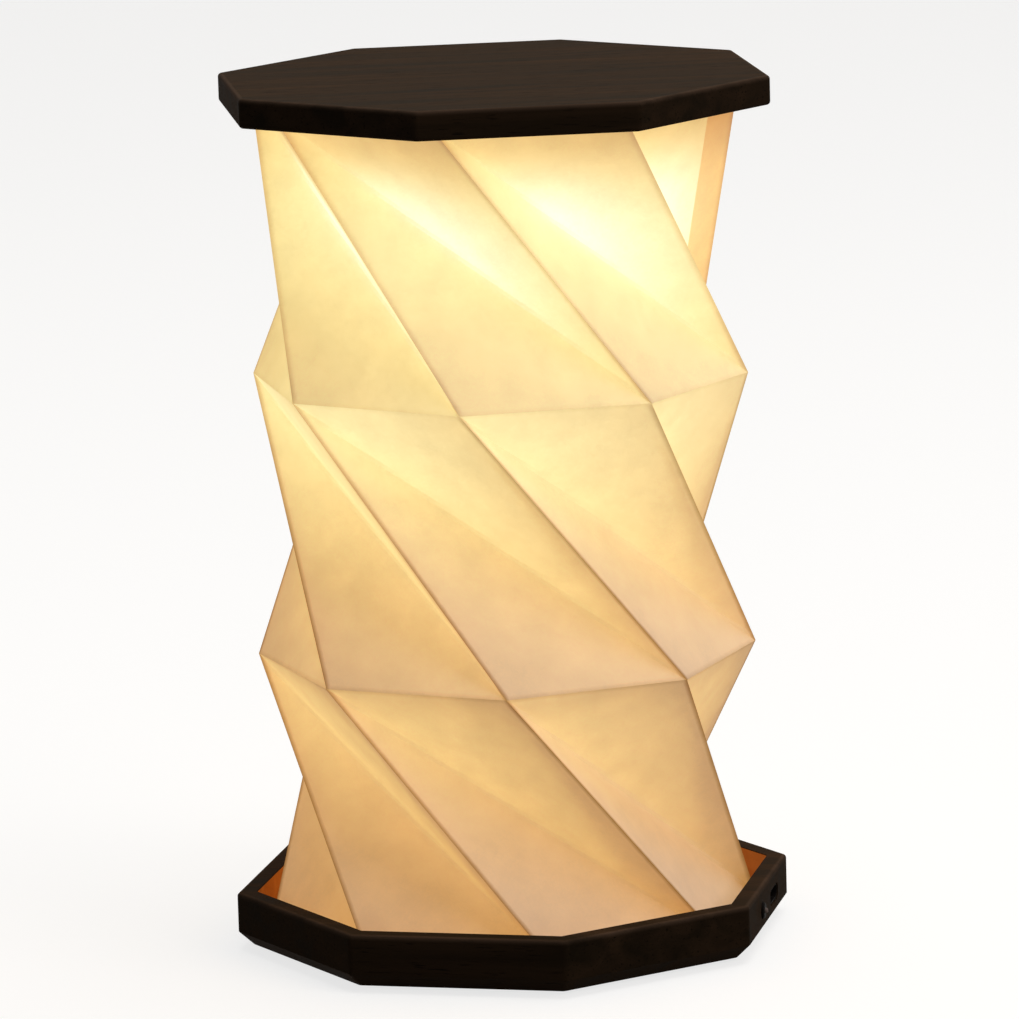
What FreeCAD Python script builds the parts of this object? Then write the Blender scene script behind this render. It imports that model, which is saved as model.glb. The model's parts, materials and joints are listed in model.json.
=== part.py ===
import FreeCAD, Part
import math
import os
import re

import Sketcher

# Folding eight-sided paper lantern: a walnut tray, a folded paper tube and a walnut top plate.
# Millimetres. Z is up and the lamp stands on z = 0. The tray's flats face the axes, and the
# facet with the charging socket faces +X. Every ring of the shade, and the top plate with it,
# is turned clockwise, seen from above, against the ring below.

SIDES = 8
HALF_CORNER = 180 / SIDES
FEET = 4
SCREWS_PER_COVER = 3
LED_COUNT = 12
# Corner steps from tray to plate when the lamp is closed and its octagons line up
CLOSED_STEPS = 6

SIZES = {
    # Walnut tray
    "corner_radius": 60.0,
    "rim_width": 4.0,
    "tray_height": 11.5,
    "tray_floor": 3.1,
    "tray_bevel": 3.0,
    "corner_round": 1.6,
    "edge_round": 0.8,
    # Rubber feet
    "foot_height": 1.0,
    "foot_radius": 5.0,
    "foot_inset": 18.0,
    # Walnut top plate
    "plate_height": 6.2,
    "plate_pocket": 3.7,
    # Paper shade, with the turn of each tier in degrees
    "shade_clearance": 2.67,
    "paper_thickness": 0.4,
    "crease_length": 76.2,
    "lower_turn": 55.4,
    "middle_turn": 53.6,
    "upper_turn": 50.9,
    "hem_width": 7.0,
    # Strips that clamp the hems
    "strip_setback": 2.4,
    "strip_width": 5.0,
    "strip_thickness": 1.5,
    "strip_end_gap": 1.0,
    "strip_screw_spread": 8.0,
    # Small screws
    "screw_radius": 0.8,
    "screw_head_radius": 1.6,
    "screw_head_height": 0.8,
    "screw_bite": 1.5,
    "screw_gap": 0.05,
    # Battery and its hatch
    "battery_radius": 15.0,
    "battery_thickness": 5.0,
    "battery_clearance": 1.0,
    "cover_ledge": 4.0,
    "cover_thickness": 1.2,
    "cover_gap": 0.2,
    # Cup over the electronics
    "cup_height": 8.0,
    "cup_wall": 1.2,
    "cup_flange": 4.0,
    "post_radius": 2.2,
    "post_height": 1.6,
    "post_inset": 3.3,
    # Control board
    "board_radius": 16.8,
    "board_gap": 0.5,
    "board_thickness": 1.0,
    "board_hole_radius": 5.0,
    "chip_side": 4.0,
    "chip_height": 0.9,
    "chip_distance": 10.5,
    # Lead sockets
    "socket_length": 5.0,
    "socket_width": 3.4,
    "socket_height": 1.3,
    "socket_distance": 7.4,
    # Catch magnets
    "magnet_radius": 4.0,
    "magnet_thickness": 1.5,
    # Port bay in the +X wall
    "port_drop": 4.95,
    "port_skin": 1.5,
    "port_gap": 0.2,
    "bay_height": 6.8,
    "port_board_length": 32.0,
    "port_board_thickness": 0.8,
    "port_board_setback": 0.35,
    "port_screw_inset": 2.5,
    # Charging socket
    "usb_side_gap": 0.43,
    "usb_width": 8.94,
    "usb_height": 3.2,
    "usb_length": 5.6,
    "usb_wall": 0.3,
    "usb_corner": 1.3,
    "usb_recess": 0.3,
    "usb_gap": 0.2,
    "usb_leg_width": 0.6,
    "usb_leg_length": 1.1,
    "tongue_width": 6.7,
    "tongue_thickness": 0.7,
    "tongue_recess": 1.0,
    "tongue_base": 1.2,
    # Push button and its switch
    "switch_side_gap": 1.9,
    "button_radius": 1.7,
    "button_gap": 0.15,
    "button_proud": 0.6,
    "button_travel": 0.4,
    "button_round": 0.4,
    "pipe_radius": 0.6,
    "pipe_proud": 0.6,
    "pipe_round": 0.5,
    "flange_radius": 3.0,
    "flange_thickness": 0.8,
    "flange_gap": 0.1,
    "switch_depth": 2.6,
    "switch_width": 6.0,
    "switch_height": 4.6,
    "plunger_radius": 0.9,
    "plunger_reach": 0.9,
    "plunger_hold": 0.9,
    "plunger_gap": 0.1,
    # Light unit
    "led_board_radius": 16.5,
    "led_board_thickness": 1.2,
    "led_distance": 12.5,
    "led_length": 3.5,
    "led_width": 2.8,
    "led_height": 0.7,
    "led_screw_distance": 7.5,
    "diffuser_gap": 0.3,
    "diffuser_wall": 1.2,
    "diffuser_depth": 4.0,
    # Rounding of moulded edges
    "moulded_round": 0.4,
    # Gap left between plate and tray when the lamp is closed
    "closed_gap": 0.3,
    # How far every cut runs past the face that it opens
    "overrun": 0.5,
}

# The paper's inner wall lies further in than its thickness, because its panels lean
INSET_SHARE = 1.6
CLOSE = 1e-6

# Formulas in the names of the sizes above
OUTER_FLAT = f"(corner_radius * cos({HALF_CORNER}))"
INNER_FLAT = f"({OUTER_FLAT} - rim_width)"
SHADE_RADIUS = f"({INNER_FLAT} / cos({HALF_CORNER}) - shade_clearance)"
SHADE_FLAT = f"({SHADE_RADIUS} * cos({HALF_CORNER}))"
FLOOR_Z = "(foot_height + tray_floor)"
RIM_Z = "(foot_height + tray_height)"
TIERS = [
    f"sqrt(crease_length ^ 2 - 2 * {SHADE_RADIUS} ^ 2 * (1 - cos({turn})))"
    for turn in ("lower_turn", "middle_turn", "upper_turn")
]
PLATE_Z = f"({FLOOR_Z} + {' + '.join(TIERS)} - plate_pocket)"
PLATE_TURN = "(lower_turn + middle_turn + upper_turn)"

STRIP_OUTER = f"({SHADE_FLAT} - strip_setback)"
STRIP_INNER = f"({STRIP_OUTER} - strip_width)"
STRIP_MIDDLE = f"({STRIP_OUTER} - strip_width / 2)"
STRIP_STACK = "(paper_thickness + strip_thickness)"

HATCH_RADIUS = "(battery_radius + battery_clearance)"
COVER_RADIUS = f"({HATCH_RADIUS} + cover_ledge)"
COVER_SCREW_DISTANCE = f"({HATCH_RADIUS} + cover_ledge / 2)"
COVER_TOP = "(foot_height + cover_thickness)"
CUP_INNER = "(board_radius + board_gap)"
CUP_OUTER = f"({CUP_INNER} + cup_wall)"
CUP_TOP = f"({FLOOR_Z} + cup_height)"
CUP_ROOF = f"({CUP_TOP} - cup_wall)"
CUP_SCREW_DISTANCE = f"({CUP_OUTER} + cup_flange / 2)"
BOARD_TOP = f"({CUP_ROOF} - post_height)"
BOARD_BOTTOM = f"({BOARD_TOP} - board_thickness)"
POST_DISTANCE = "(board_radius - post_inset)"

PORT_Z = f"({RIM_Z} - port_drop)"
BAY_OUTER = f"({OUTER_FLAT} - port_skin)"
PORT_BOARD_INNER = f"({SHADE_FLAT} + port_board_setback)"
PORT_BOARD_OUTER = f"({BAY_OUTER} - port_gap)"
PORT_BOARD_MIDDLE = f"(({PORT_BOARD_INNER} + {PORT_BOARD_OUTER}) / 2)"
PORT_BOARD_TOP = f"({FLOOR_Z} + port_board_thickness)"
PORT_SCREW_PLACE = "(port_board_length / 2 - port_screw_inset)"
PORT_SCREW_EDGE = f"({PORT_SCREW_PLACE} - screw_head_radius)"
USB_PLACE = f"({PORT_SCREW_EDGE} - usb_side_gap - usb_width / 2)"
BUTTON_PLACE = f"(switch_width / 2 + switch_side_gap - {PORT_SCREW_EDGE})"
USB_MOUTH = f"({OUTER_FLAT} - usb_recess)"
USB_REAR = f"({USB_MOUTH} - usb_length)"
USB_BOTTOM = f"({PORT_Z} - usb_height / 2)"
FLANGE_FRONT = f"({BAY_OUTER} - flange_gap)"
FLANGE_BACK = f"({FLANGE_FRONT} - flange_thickness)"
SWITCH_FRONT = f"({FLANGE_BACK} - plunger_reach)"

LED_BOARD_FACE = "(plate_pocket - led_board_thickness)"
DIFFUSER_INNER = "(led_board_radius + diffuser_gap)"
DIFFUSER_OUTER = f"({DIFFUSER_INNER} + diffuser_wall)"

doc = FreeCAD.newDocument("PaperLantern")
sheet = doc.addObject("Spreadsheet::Sheet", "Sizes")
for row, (name, number) in enumerate(SIZES.items(), 1):
    sheet.set(f"A{row}", name)
    sheet.set(f"B{row}", str(number))
    sheet.setAlias(f"B{row}", name)
doc.recompute()

pieces = []


def size(name):
    """Read a size back from the sheet."""
    return float(sheet.get(name))


def formula(text):
    """Write the sheet's name before each size in a formula."""
    return re.sub("[a-z_]+", lambda word: f"Sizes.{word[0]}" if word[0] in SIZES else word[0], text)


def bind(item, prop, text):
    item.setExpression(prop, formula(text))


def new_body(label, on_top=False):
    """Start a sub-part. One that belongs to the top plate is drawn from the plate's underside."""
    body = doc.addObject("PartDesign::Body", label)
    body.Label = label
    if on_top:
        body.Placement = FreeCAD.Placement(FreeCAD.Vector(), FreeCAD.Rotation(FreeCAD.Vector(0, 0, -1), 1))
        bind(body, "Placement.Base.z", PLATE_Z)
        bind(body, "Placement.Rotation.Angle", PLATE_TURN)
    pieces.append(body)
    return body


def origin_part(body, role):
    return next(part for part in body.Origin.OriginFeatures if part.Role == role)


def new_sketch(body, name, height="0", plane="XY_Plane"):
    """A sketch on one of the body's own planes, moved along the plane's normal."""
    sketch = body.newObject("Sketcher::SketchObject", name)
    sketch.AttachmentSupport = (origin_part(body, plane), "")
    sketch.MapMode = "FlatFace"
    if height != "0":
        bind(sketch, "AttachmentOffset.Base.z", height)
    return sketch


def place(sketch, shape, point, across, up):
    """Fix a point of a sketch by two formulas, or on an axis where a formula is zero."""
    spot = sketch.getPoint(shape, point)
    for kind, text, axis, guess in (("DistanceX", across, -2, spot.x), ("DistanceY", up, -1, spot.y)):
        if text == "0":
            sketch.addConstraint(Sketcher.Constraint("PointOnObject", shape, point, axis))
        else:
            index = sketch.addConstraint(Sketcher.Constraint(kind, -1, 1, shape, point, guess))
            bind(sketch, f"Constraints[{index}]", text)


def polygon(sketch, corners):
    """A closed outline through corners that are pairs of formulas, counterclockwise."""
    count = len(corners)
    first = sketch.GeometryCount
    turns = [2 * math.pi * (index + 0.5) / count for index in range(count)]
    spots = [FreeCAD.Vector(math.cos(turn), math.sin(turn)) for turn in turns]
    for index in range(count):
        sketch.addGeometry(Part.LineSegment(spots[index], spots[(index + 1) % count]))
    for index in range(count):
        following = first + (index + 1) % count
        sketch.addConstraint(Sketcher.Constraint("Coincident", first + index, 2, following, 1))
    for index, (across, up) in enumerate(corners):
        place(sketch, first + index, 1, across, up)


def rectangle(sketch, left, right, low, high):
    polygon(sketch, [(right, high), (left, high), (left, low), (right, low)])


def box_about(sketch, across, up, width, height):
    """A rectangle about a centre."""
    rectangle(
        sketch,
        f"{across} - {width} / 2",
        f"{across} + {width} / 2",
        f"{up} - {height} / 2",
        f"{up} + {height} / 2",
    )


def octagon(sketch, flat):
    """A regular octagon whose sides face the axes at the distance flat."""
    half = f"({flat} * tan({HALF_CORNER}))"
    flat_back, half_back = f"-{flat}", f"-{half}"
    polygon(
        sketch,
        [
            (flat, half),
            (half, flat),
            (half_back, flat),
            (flat_back, half),
            (flat_back, half_back),
            (half_back, flat_back),
            (half, flat_back),
            (flat, half_back),
        ],
    )


def circle(sketch, radius, across="0", up="0"):
    shape = sketch.addGeometry(Part.Circle(FreeCAD.Vector(1, 1), FreeCAD.Vector(0, 0, 1), 1))
    index = sketch.addConstraint(Sketcher.Constraint("Radius", shape, 1))
    bind(sketch, f"Constraints[{index}]", radius)
    place(sketch, shape, 3, across, up)


def pad(body, sketch, length, backward=False):
    """Add material along the sketch's normal, or against it."""
    feature = body.newObject("PartDesign::Pad", "Pad")
    feature.Profile = sketch
    feature.Reversed = backward
    bind(feature, "Length", length)
    body.Tip = feature
    return feature


def pocket(body, sketch, length, forward=False):
    """Cut against the sketch's normal, or along it, and make sure that something was cut."""
    doc.recompute()
    before = body.Shape.Volume
    feature = body.newObject("PartDesign::Pocket", "Pocket")
    feature.Profile = sketch
    feature.Reversed = forward
    bind(feature, "Length", length)
    body.Tip = feature
    doc.recompute()
    if body.Shape.Volume > before - CLOSE:
        raise RuntimeError(f"{sketch.Label} cuts nothing from {body.Label}")
    return feature


def around(body, features, count):
    """Repeat features evenly about the lamp's axis."""
    pattern = body.newObject("PartDesign::PolarPattern", "Pattern")
    pattern.Originals = features
    pattern.Axis = (origin_part(body, "Z_Axis"), [""])
    pattern.Angle = 360
    pattern.Occurrences = count
    body.Tip = pattern


def revolve(body, sketch):
    """Turn a profile drawn in the XZ plane once about Z."""
    feature = body.newObject("PartDesign::Revolution", "Turned")
    feature.Profile = sketch
    feature.ReferenceAxis = (sketch, ["V_Axis"])
    feature.Angle = 360
    body.Tip = feature


def find_edges(body, wanted):
    """Names of the edges that a test picks from the body as it stands."""
    doc.recompute()
    return [f"Edge{index}" for index, edge in enumerate(body.Shape.Edges, 1) if wanted(edge)]


def soften(body, kind, prop, amount, wanted):
    """Round (Fillet) or bevel (Chamfer) the edges that a test picks."""
    names = find_edges(body, wanted)
    base = body.Tip
    feature = body.newObject(f"PartDesign::{kind}", kind)
    feature.Base = (base, names)
    bind(feature, prop, amount)
    body.Tip = feature


def heights(edge):
    return [vertex.Z for vertex in edge.Vertexes]


def is_upright(edge):
    return abs(heights(edge)[0] - heights(edge)[-1]) > CLOSE


def lies_lowest(body):
    low = body.Shape.BoundBox.ZMin
    return lambda edge: max(heights(edge)) < low + CLOSE


def lies_highest(body):
    high = body.Shape.BoundBox.ZMax
    return lambda edge: min(heights(edge)) > high - CLOSE


def lies_foremost(body):
    front = body.Shape.BoundBox.XMax
    return lambda edge: edge.BoundBox.XMin > front - CLOSE


def runs_along_x(edge):
    spread = edge.BoundBox
    return spread.XLength > max(spread.YLength, spread.ZLength) + CLOSE


def runs_from_corners(sketch):
    """A test for the edges along X that start from the corners of an upright sketch."""
    corners = [vertex.Point for vertex in sketch.Shape.Vertexes]

    def wanted(edge):
        middle = edge.BoundBox.Center
        misses = [math.hypot(middle.y - corner.y, middle.z - corner.z) for corner in corners]
        return runs_along_x(edge) and min(misses) < CLOSE

    return wanted


def screw_group(label, seat, spots, count, upward, on_top=False):
    """Pan-head screws on a seat at the height seat, repeated about the lamp's axis.

    The head stands on the seat, the shaft goes through grip and bites into what lies behind it.
    """
    body = new_body(label, on_top)
    height, grip = seat
    heads = new_sketch(body, "Heads", height)
    shafts = new_sketch(body, "Shafts", height)
    for across, up in spots:
        circle(heads, "screw_head_radius", across, up)
        circle(shafts, "screw_radius", across, up)
    features = [
        pad(body, heads, "screw_head_height", backward=upward),
        pad(body, shafts, f"{grip} + screw_bite", backward=not upward),
    ]
    if count > 1:
        around(body, features, count)


def pilot_holes(body, height, depth, spots, count, upward):
    """Holes for screw shafts, cut upward or downward from a height."""
    sketch = new_sketch(body, "Pilots", height)
    for across, up in spots:
        circle(sketch, "screw_radius + screw_gap", across, up)
    feature = pocket(body, sketch, depth, forward=upward)
    if count > 1:
        around(body, [feature], count)


# Where the screws stand: one sector each, repeated about the axis
STRIP_SCREW_SPOTS = [(STRIP_MIDDLE, "strip_screw_spread"), (STRIP_MIDDLE, "-strip_screw_spread")]
COVER_SCREW_SPOTS = [(COVER_SCREW_DISTANCE, "0")]
CUP_SCREW_SPOTS = [(f"-{CUP_SCREW_DISTANCE}", "0")]
POST_SPOTS = [(f"-{POST_DISTANCE}", "0")]
PORT_SCREW_SPOTS = [(PORT_BOARD_MIDDLE, PORT_SCREW_PLACE), (PORT_BOARD_MIDDLE, f"-{PORT_SCREW_PLACE}")]
LED_SCREW_SPOTS = [("0", "led_screw_distance")]


def make_tray():
    """Walnut tray: octagonal, bevelled below, with the port bay and the battery hatch."""
    body = new_body("base_tray")
    outline = new_sketch(body, "Outline", "foot_height")
    octagon(outline, OUTER_FLAT)
    pad(body, outline, "tray_height")
    doc.recompute()
    soften(body, "Chamfer", "Size", "tray_bevel", lies_lowest(body))
    soften(body, "Fillet", "Radius", "corner_round", is_upright)
    doc.recompute()
    soften(body, "Fillet", "Radius", "edge_round", lies_highest(body))

    recess = new_sketch(body, "Recess", RIM_Z)
    octagon(recess, INNER_FLAT)
    pocket(body, recess, "tray_height - tray_floor")
    hatch = new_sketch(body, "Hatch", FLOOR_Z)
    circle(hatch, HATCH_RADIUS)
    pocket(body, hatch, "tray_floor + overrun")
    seat = new_sketch(body, "CoverSeat", "foot_height")
    circle(seat, f"{COVER_RADIUS} + cover_gap")
    pocket(body, seat, "cover_thickness", forward=True)

    bay = new_sketch(body, "PortBay", FLOOR_Z)
    half_bay = "(port_board_length / 2 + port_gap)"
    rectangle(bay, f"{INNER_FLAT} - overrun", BAY_OUTER, f"-{half_bay}", half_bay)
    pocket(body, bay, "bay_height", forward=True)
    slot = new_sketch(body, "SocketSlot", OUTER_FLAT, "YZ_Plane")
    box_about(slot, USB_PLACE, PORT_Z, "(usb_width + 2 * usb_gap)", "(usb_height + 2 * usb_gap)")
    pocket(body, slot, "port_skin + overrun")
    soften(body, "Fillet", "Radius", "usb_corner + usb_gap", runs_from_corners(slot))
    bore = new_sketch(body, "ButtonHole", OUTER_FLAT, "YZ_Plane")
    circle(bore, "button_radius + button_gap", BUTTON_PLACE, PORT_Z)
    pocket(body, bore, "port_skin + overrun")

    pilot_holes(body, FLOOR_Z, "screw_bite", STRIP_SCREW_SPOTS, SIDES, upward=False)
    pilot_holes(body, FLOOR_Z, "screw_bite", CUP_SCREW_SPOTS, SCREWS_PER_COVER, upward=False)
    pilot_holes(body, COVER_TOP, "screw_bite", COVER_SCREW_SPOTS, SCREWS_PER_COVER, upward=True)
    pilot_holes(body, FLOOR_Z, "screw_bite", PORT_SCREW_SPOTS, 1, upward=False)


def make_feet():
    body = new_body("foot_pads")
    sketch = new_sketch(body, "Foot")
    spot = f"(corner_radius - foot_inset) * cos({180 / FEET})"
    circle(sketch, "foot_radius", spot, spot)
    around(body, [pad(body, sketch, "foot_height")], FEET)


def make_hatch():
    """Cover, its screws and the cell that lies on it."""
    body = new_body("hatch_cover")
    disc = new_sketch(body, "Disc", "foot_height")
    circle(disc, COVER_RADIUS)
    pad(body, disc, "cover_thickness")
    heads = new_sketch(body, "HeadSeats", "foot_height")
    circle(heads, "screw_head_radius + screw_gap", *COVER_SCREW_SPOTS[0])
    seats = pocket(body, heads, "screw_head_height", forward=True)
    shafts = new_sketch(body, "ShaftHoles", "foot_height")
    circle(shafts, "screw_radius + screw_gap", *COVER_SCREW_SPOTS[0])
    holes = pocket(body, shafts, "cover_thickness + overrun", forward=True)
    around(body, [seats, holes], SCREWS_PER_COVER)

    seat = ("(foot_height + screw_head_height)", "(cover_thickness - screw_head_height)")
    screw_group("hatch_screws", seat, COVER_SCREW_SPOTS, SCREWS_PER_COVER, upward=True)

    cell = new_body("battery_cell")
    disc = new_sketch(cell, "Disc", COVER_TOP)
    circle(disc, "battery_radius")
    pad(cell, disc, "battery_thickness")
    doc.recompute()
    soften(cell, "Fillet", "Radius", "moulded_round", lies_highest(cell))


def make_cup():
    """Moulded cup with a flange below and three posts that hold the control board."""
    body = new_body("electronics_cup")
    profile = new_sketch(body, "Profile", "0", "XZ_Plane")
    flange_top = f"({FLOOR_Z} + cup_wall)"
    flange_edge = f"({CUP_OUTER} + cup_flange)"
    polygon(
        profile,
        [
            ("0", CUP_TOP),
            ("0", CUP_ROOF),
            (CUP_INNER, CUP_ROOF),
            (CUP_INNER, FLOOR_Z),
            (flange_edge, FLOOR_Z),
            (flange_edge, flange_top),
            (CUP_OUTER, flange_top),
            (CUP_OUTER, CUP_TOP),
        ],
    )
    revolve(body, profile)
    doc.recompute()
    soften(body, "Fillet", "Radius", "moulded_round", lies_highest(body))
    posts = new_sketch(body, "Posts", CUP_ROOF)
    circle(posts, "post_radius", *POST_SPOTS[0])
    around(body, [pad(body, posts, "post_height", backward=True)], SCREWS_PER_COVER)
    pilot_holes(body, BOARD_TOP, "screw_bite", POST_SPOTS, SCREWS_PER_COVER, upward=True)
    pilot_holes(body, flange_top, "cup_wall", CUP_SCREW_SPOTS, SCREWS_PER_COVER, upward=False)
    screw_group("cup_screws", (flange_top, "cup_wall"), CUP_SCREW_SPOTS, SCREWS_PER_COVER, upward=False)


def make_control_board():
    """Ring-shaped board under the cup's roof, with its chips, lead socket and screws."""
    body = new_body("control_board")
    disc = new_sketch(body, "Disc", BOARD_BOTTOM)
    circle(disc, "board_radius")
    circle(disc, "board_hole_radius")
    pad(body, disc, "board_thickness")
    pilot_holes(body, BOARD_BOTTOM, "board_thickness", POST_SPOTS, SCREWS_PER_COVER, upward=True)
    screw_group("board_screws", (BOARD_BOTTOM, "board_thickness"), POST_SPOTS, SCREWS_PER_COVER, upward=True)

    chips = new_body("control_chips")
    pair = new_sketch(chips, "Pair", BOARD_TOP)
    box_about(pair, "chip_distance", "0", "chip_side", "chip_side")
    box_about(pair, "0", "-chip_distance", "chip_side", "chip_side")
    pad(chips, pair, "chip_height")

    socket = new_body("base_lead_socket")
    block = new_sketch(socket, "Block", BOARD_TOP)
    box_about(block, "0", "chip_distance", "socket_length", "socket_width")
    pad(socket, block, "socket_height")

    magnet = new_body("base_magnet")
    disc = new_sketch(magnet, "Disc", CUP_ROOF)
    circle(disc, "magnet_radius")
    pad(magnet, disc, "magnet_thickness", backward=True)


def make_port_board():
    """Strip of circuit board on the tray's floor, in the bay behind the slotted facet."""
    body = new_body("port_board")
    strip = new_sketch(body, "Strip", FLOOR_Z)
    half = "(port_board_length / 2)"
    rectangle(strip, PORT_BOARD_INNER, PORT_BOARD_OUTER, f"-{half}", half)
    pad(body, strip, "port_board_thickness")
    notch = new_sketch(body, "ButtonNotch", FLOOR_Z)
    half_notch = "(flange_radius + port_gap)"
    rectangle(
        notch,
        f"{FLANGE_BACK} - button_travel - port_gap",
        f"{PORT_BOARD_OUTER} + overrun",
        f"{BUTTON_PLACE} - {half_notch}",
        f"{BUTTON_PLACE} + {half_notch}",
    )
    pocket(body, notch, "port_board_thickness", forward=True)
    pilot_holes(body, FLOOR_Z, "port_board_thickness", PORT_SCREW_SPOTS, 1, upward=True)
    seat = (PORT_BOARD_TOP, "port_board_thickness")
    screw_group("port_board_screws", seat, PORT_SCREW_SPOTS, 1, upward=False)


def make_usb_socket():
    """Round-cornered metal tube on four legs, with a plastic tongue inside."""
    shell = new_body("usb_shell")
    outside = new_sketch(shell, "Outside", USB_MOUTH, "YZ_Plane")
    box_about(outside, USB_PLACE, PORT_Z, "usb_width", "usb_height")
    pad(shell, outside, "usb_length", backward=True)
    inside = new_sketch(shell, "Inside", USB_MOUTH, "YZ_Plane")
    inner_width, inner_height = "(usb_width - 2 * usb_wall)", "(usb_height - 2 * usb_wall)"
    box_about(inside, USB_PLACE, PORT_Z, inner_width, inner_height)
    pocket(shell, inside, "usb_length")
    soften(shell, "Fillet", "Radius", "usb_corner - usb_wall", runs_from_corners(inside))
    soften(shell, "Fillet", "Radius", "usb_corner", runs_from_corners(outside))
    legs = new_sketch(shell, "Legs", PORT_BOARD_TOP)
    reach = "(usb_width / 2 - usb_corner - usb_leg_width / 2)"
    for along in (f"({PORT_BOARD_INNER} + usb_leg_length)", f"({PORT_BOARD_OUTER} - usb_leg_length)"):
        for side in (f"({USB_PLACE} - {reach})", f"({USB_PLACE} + {reach})"):
            box_about(legs, along, side, "usb_leg_length", "usb_leg_width")
    pad(shell, legs, f"{USB_BOTTOM} + usb_wall / 2 - {PORT_BOARD_TOP}")

    tongue = new_body("usb_tongue")
    plug = new_sketch(tongue, "Plug", USB_REAR, "YZ_Plane")
    box_about(plug, USB_PLACE, PORT_Z, inner_width, inner_height)
    pad(tongue, plug, "tongue_base")
    soften(tongue, "Fillet", "Radius", "usb_corner - usb_wall", runs_along_x)
    blade = new_sketch(tongue, "Blade", USB_REAR, "YZ_Plane")
    box_about(blade, USB_PLACE, PORT_Z, "tongue_width", "tongue_thickness")
    pad(tongue, blade, "usb_length - tongue_recess")


def make_button():
    """Switch body on the port board, with the plunger and the domed button in front of it."""
    switch = new_body("tact_switch")
    block = new_sketch(switch, "Block", PORT_BOARD_TOP)
    half = "(switch_width / 2)"
    back = f"({SWITCH_FRONT} - switch_depth)"
    rectangle(block, back, SWITCH_FRONT, f"{BUTTON_PLACE} - {half}", f"{BUTTON_PLACE} + {half}")
    pad(switch, block, "switch_height")
    bore = new_sketch(switch, "Bore", SWITCH_FRONT, "YZ_Plane")
    circle(bore, "plunger_radius + plunger_gap", BUTTON_PLACE, PORT_Z)
    pocket(switch, bore, "plunger_hold + button_travel + plunger_gap")

    plunger = new_body("switch_plunger")
    pin = new_sketch(plunger, "Pin", FLANGE_BACK, "YZ_Plane")
    circle(pin, "plunger_radius", BUTTON_PLACE, PORT_Z)
    pad(plunger, pin, "plunger_reach + plunger_hold", backward=True)

    cap = new_body("button_cap")
    stem = new_sketch(cap, "Stem", FLANGE_BACK, "YZ_Plane")
    circle(stem, "button_radius", BUTTON_PLACE, PORT_Z)
    pad(cap, stem, f"{OUTER_FLAT} + button_proud - {FLANGE_BACK}")
    doc.recompute()
    soften(cap, "Fillet", "Radius", "button_round", lies_foremost(cap))
    pipe = new_sketch(cap, "LightPipe", f"{OUTER_FLAT} + button_proud", "YZ_Plane")
    circle(pipe, "pipe_radius", BUTTON_PLACE, PORT_Z)
    pad(cap, pipe, "pipe_proud")
    doc.recompute()
    soften(cap, "Fillet", "Radius", "pipe_round", lies_foremost(cap))
    flange = new_sketch(cap, "Flange", FLANGE_BACK, "YZ_Plane")
    circle(flange, "flange_radius", BUTTON_PLACE, PORT_Z)
    pad(cap, flange, "flange_thickness")


def make_strips(label, height, on_top=False):
    """Eight flat bars with mitred ends, one along each side of a hem."""
    body = new_body(label, on_top)
    bar = new_sketch(body, "Bar", height)
    inner_half = f"({STRIP_INNER} * tan({HALF_CORNER}) - strip_end_gap)"
    outer_half = f"({STRIP_OUTER} * tan({HALF_CORNER}) - strip_end_gap)"
    corners = [
        (STRIP_OUTER, outer_half),
        (STRIP_INNER, inner_half),
        (STRIP_INNER, f"-{inner_half}"),
        (STRIP_OUTER, f"-{outer_half}"),
    ]
    polygon(bar, corners)
    around(body, [pad(body, bar, "strip_thickness")], SIDES)
    pilot_holes(body, height, "strip_thickness", STRIP_SCREW_SPOTS, SIDES, upward=True)


def ring_corners(radius, height, turn):
    """Corners of one ring of the shade, counterclockwise, for a clockwise turn in degrees."""
    angles = [math.radians(HALF_CORNER * (2 * index + 1) - turn) for index in range(SIDES)]
    return [FreeCAD.Vector(radius * math.cos(a), radius * math.sin(a), height) for a in angles]


def flat_face(corners):
    return Part.Face(Part.makePolygon([*corners, corners[0]]))


def twisted_tube(radius, levels):
    """Closed solid of triangles between rings: short creases stand out, long ones fold in."""
    rings = [ring_corners(radius, height, turn) for height, turn in levels]
    faces = [flat_face(rings[0]), flat_face(rings[-1])]
    for lower, upper in zip(rings, rings[1:]):
        for index in range(SIDES):
            before = (index - 1) % SIDES
            faces.append(flat_face([lower[before], lower[index], upper[before]]))
            faces.append(flat_face([upper[before], lower[index], upper[index]]))
    return Part.makeSolid(Part.makeShell(faces))


def octagon_prism(flat, low, high, turn):
    base = ring_corners(flat / math.cos(math.radians(HALF_CORNER)), low, turn)
    return flat_face(base).extrude(FreeCAD.Vector(0, 0, high - low))


def hem_holes(low, high, turn, distance):
    """Holes through a hem for the screws of its strips."""
    radius = size("screw_radius") + size("screw_gap")
    holes = []
    for side in range(SIDES):
        for spread in (-size("strip_screw_spread"), size("strip_screw_spread")):
            spin = FreeCAD.Rotation(FreeCAD.Vector(0, 0, 1), 2 * HALF_CORNER * side - turn)
            spot = spin.multVec(FreeCAD.Vector(distance, spread, low))
            holes.append(Part.makeCylinder(radius, high - low, spot))
    return holes


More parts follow.
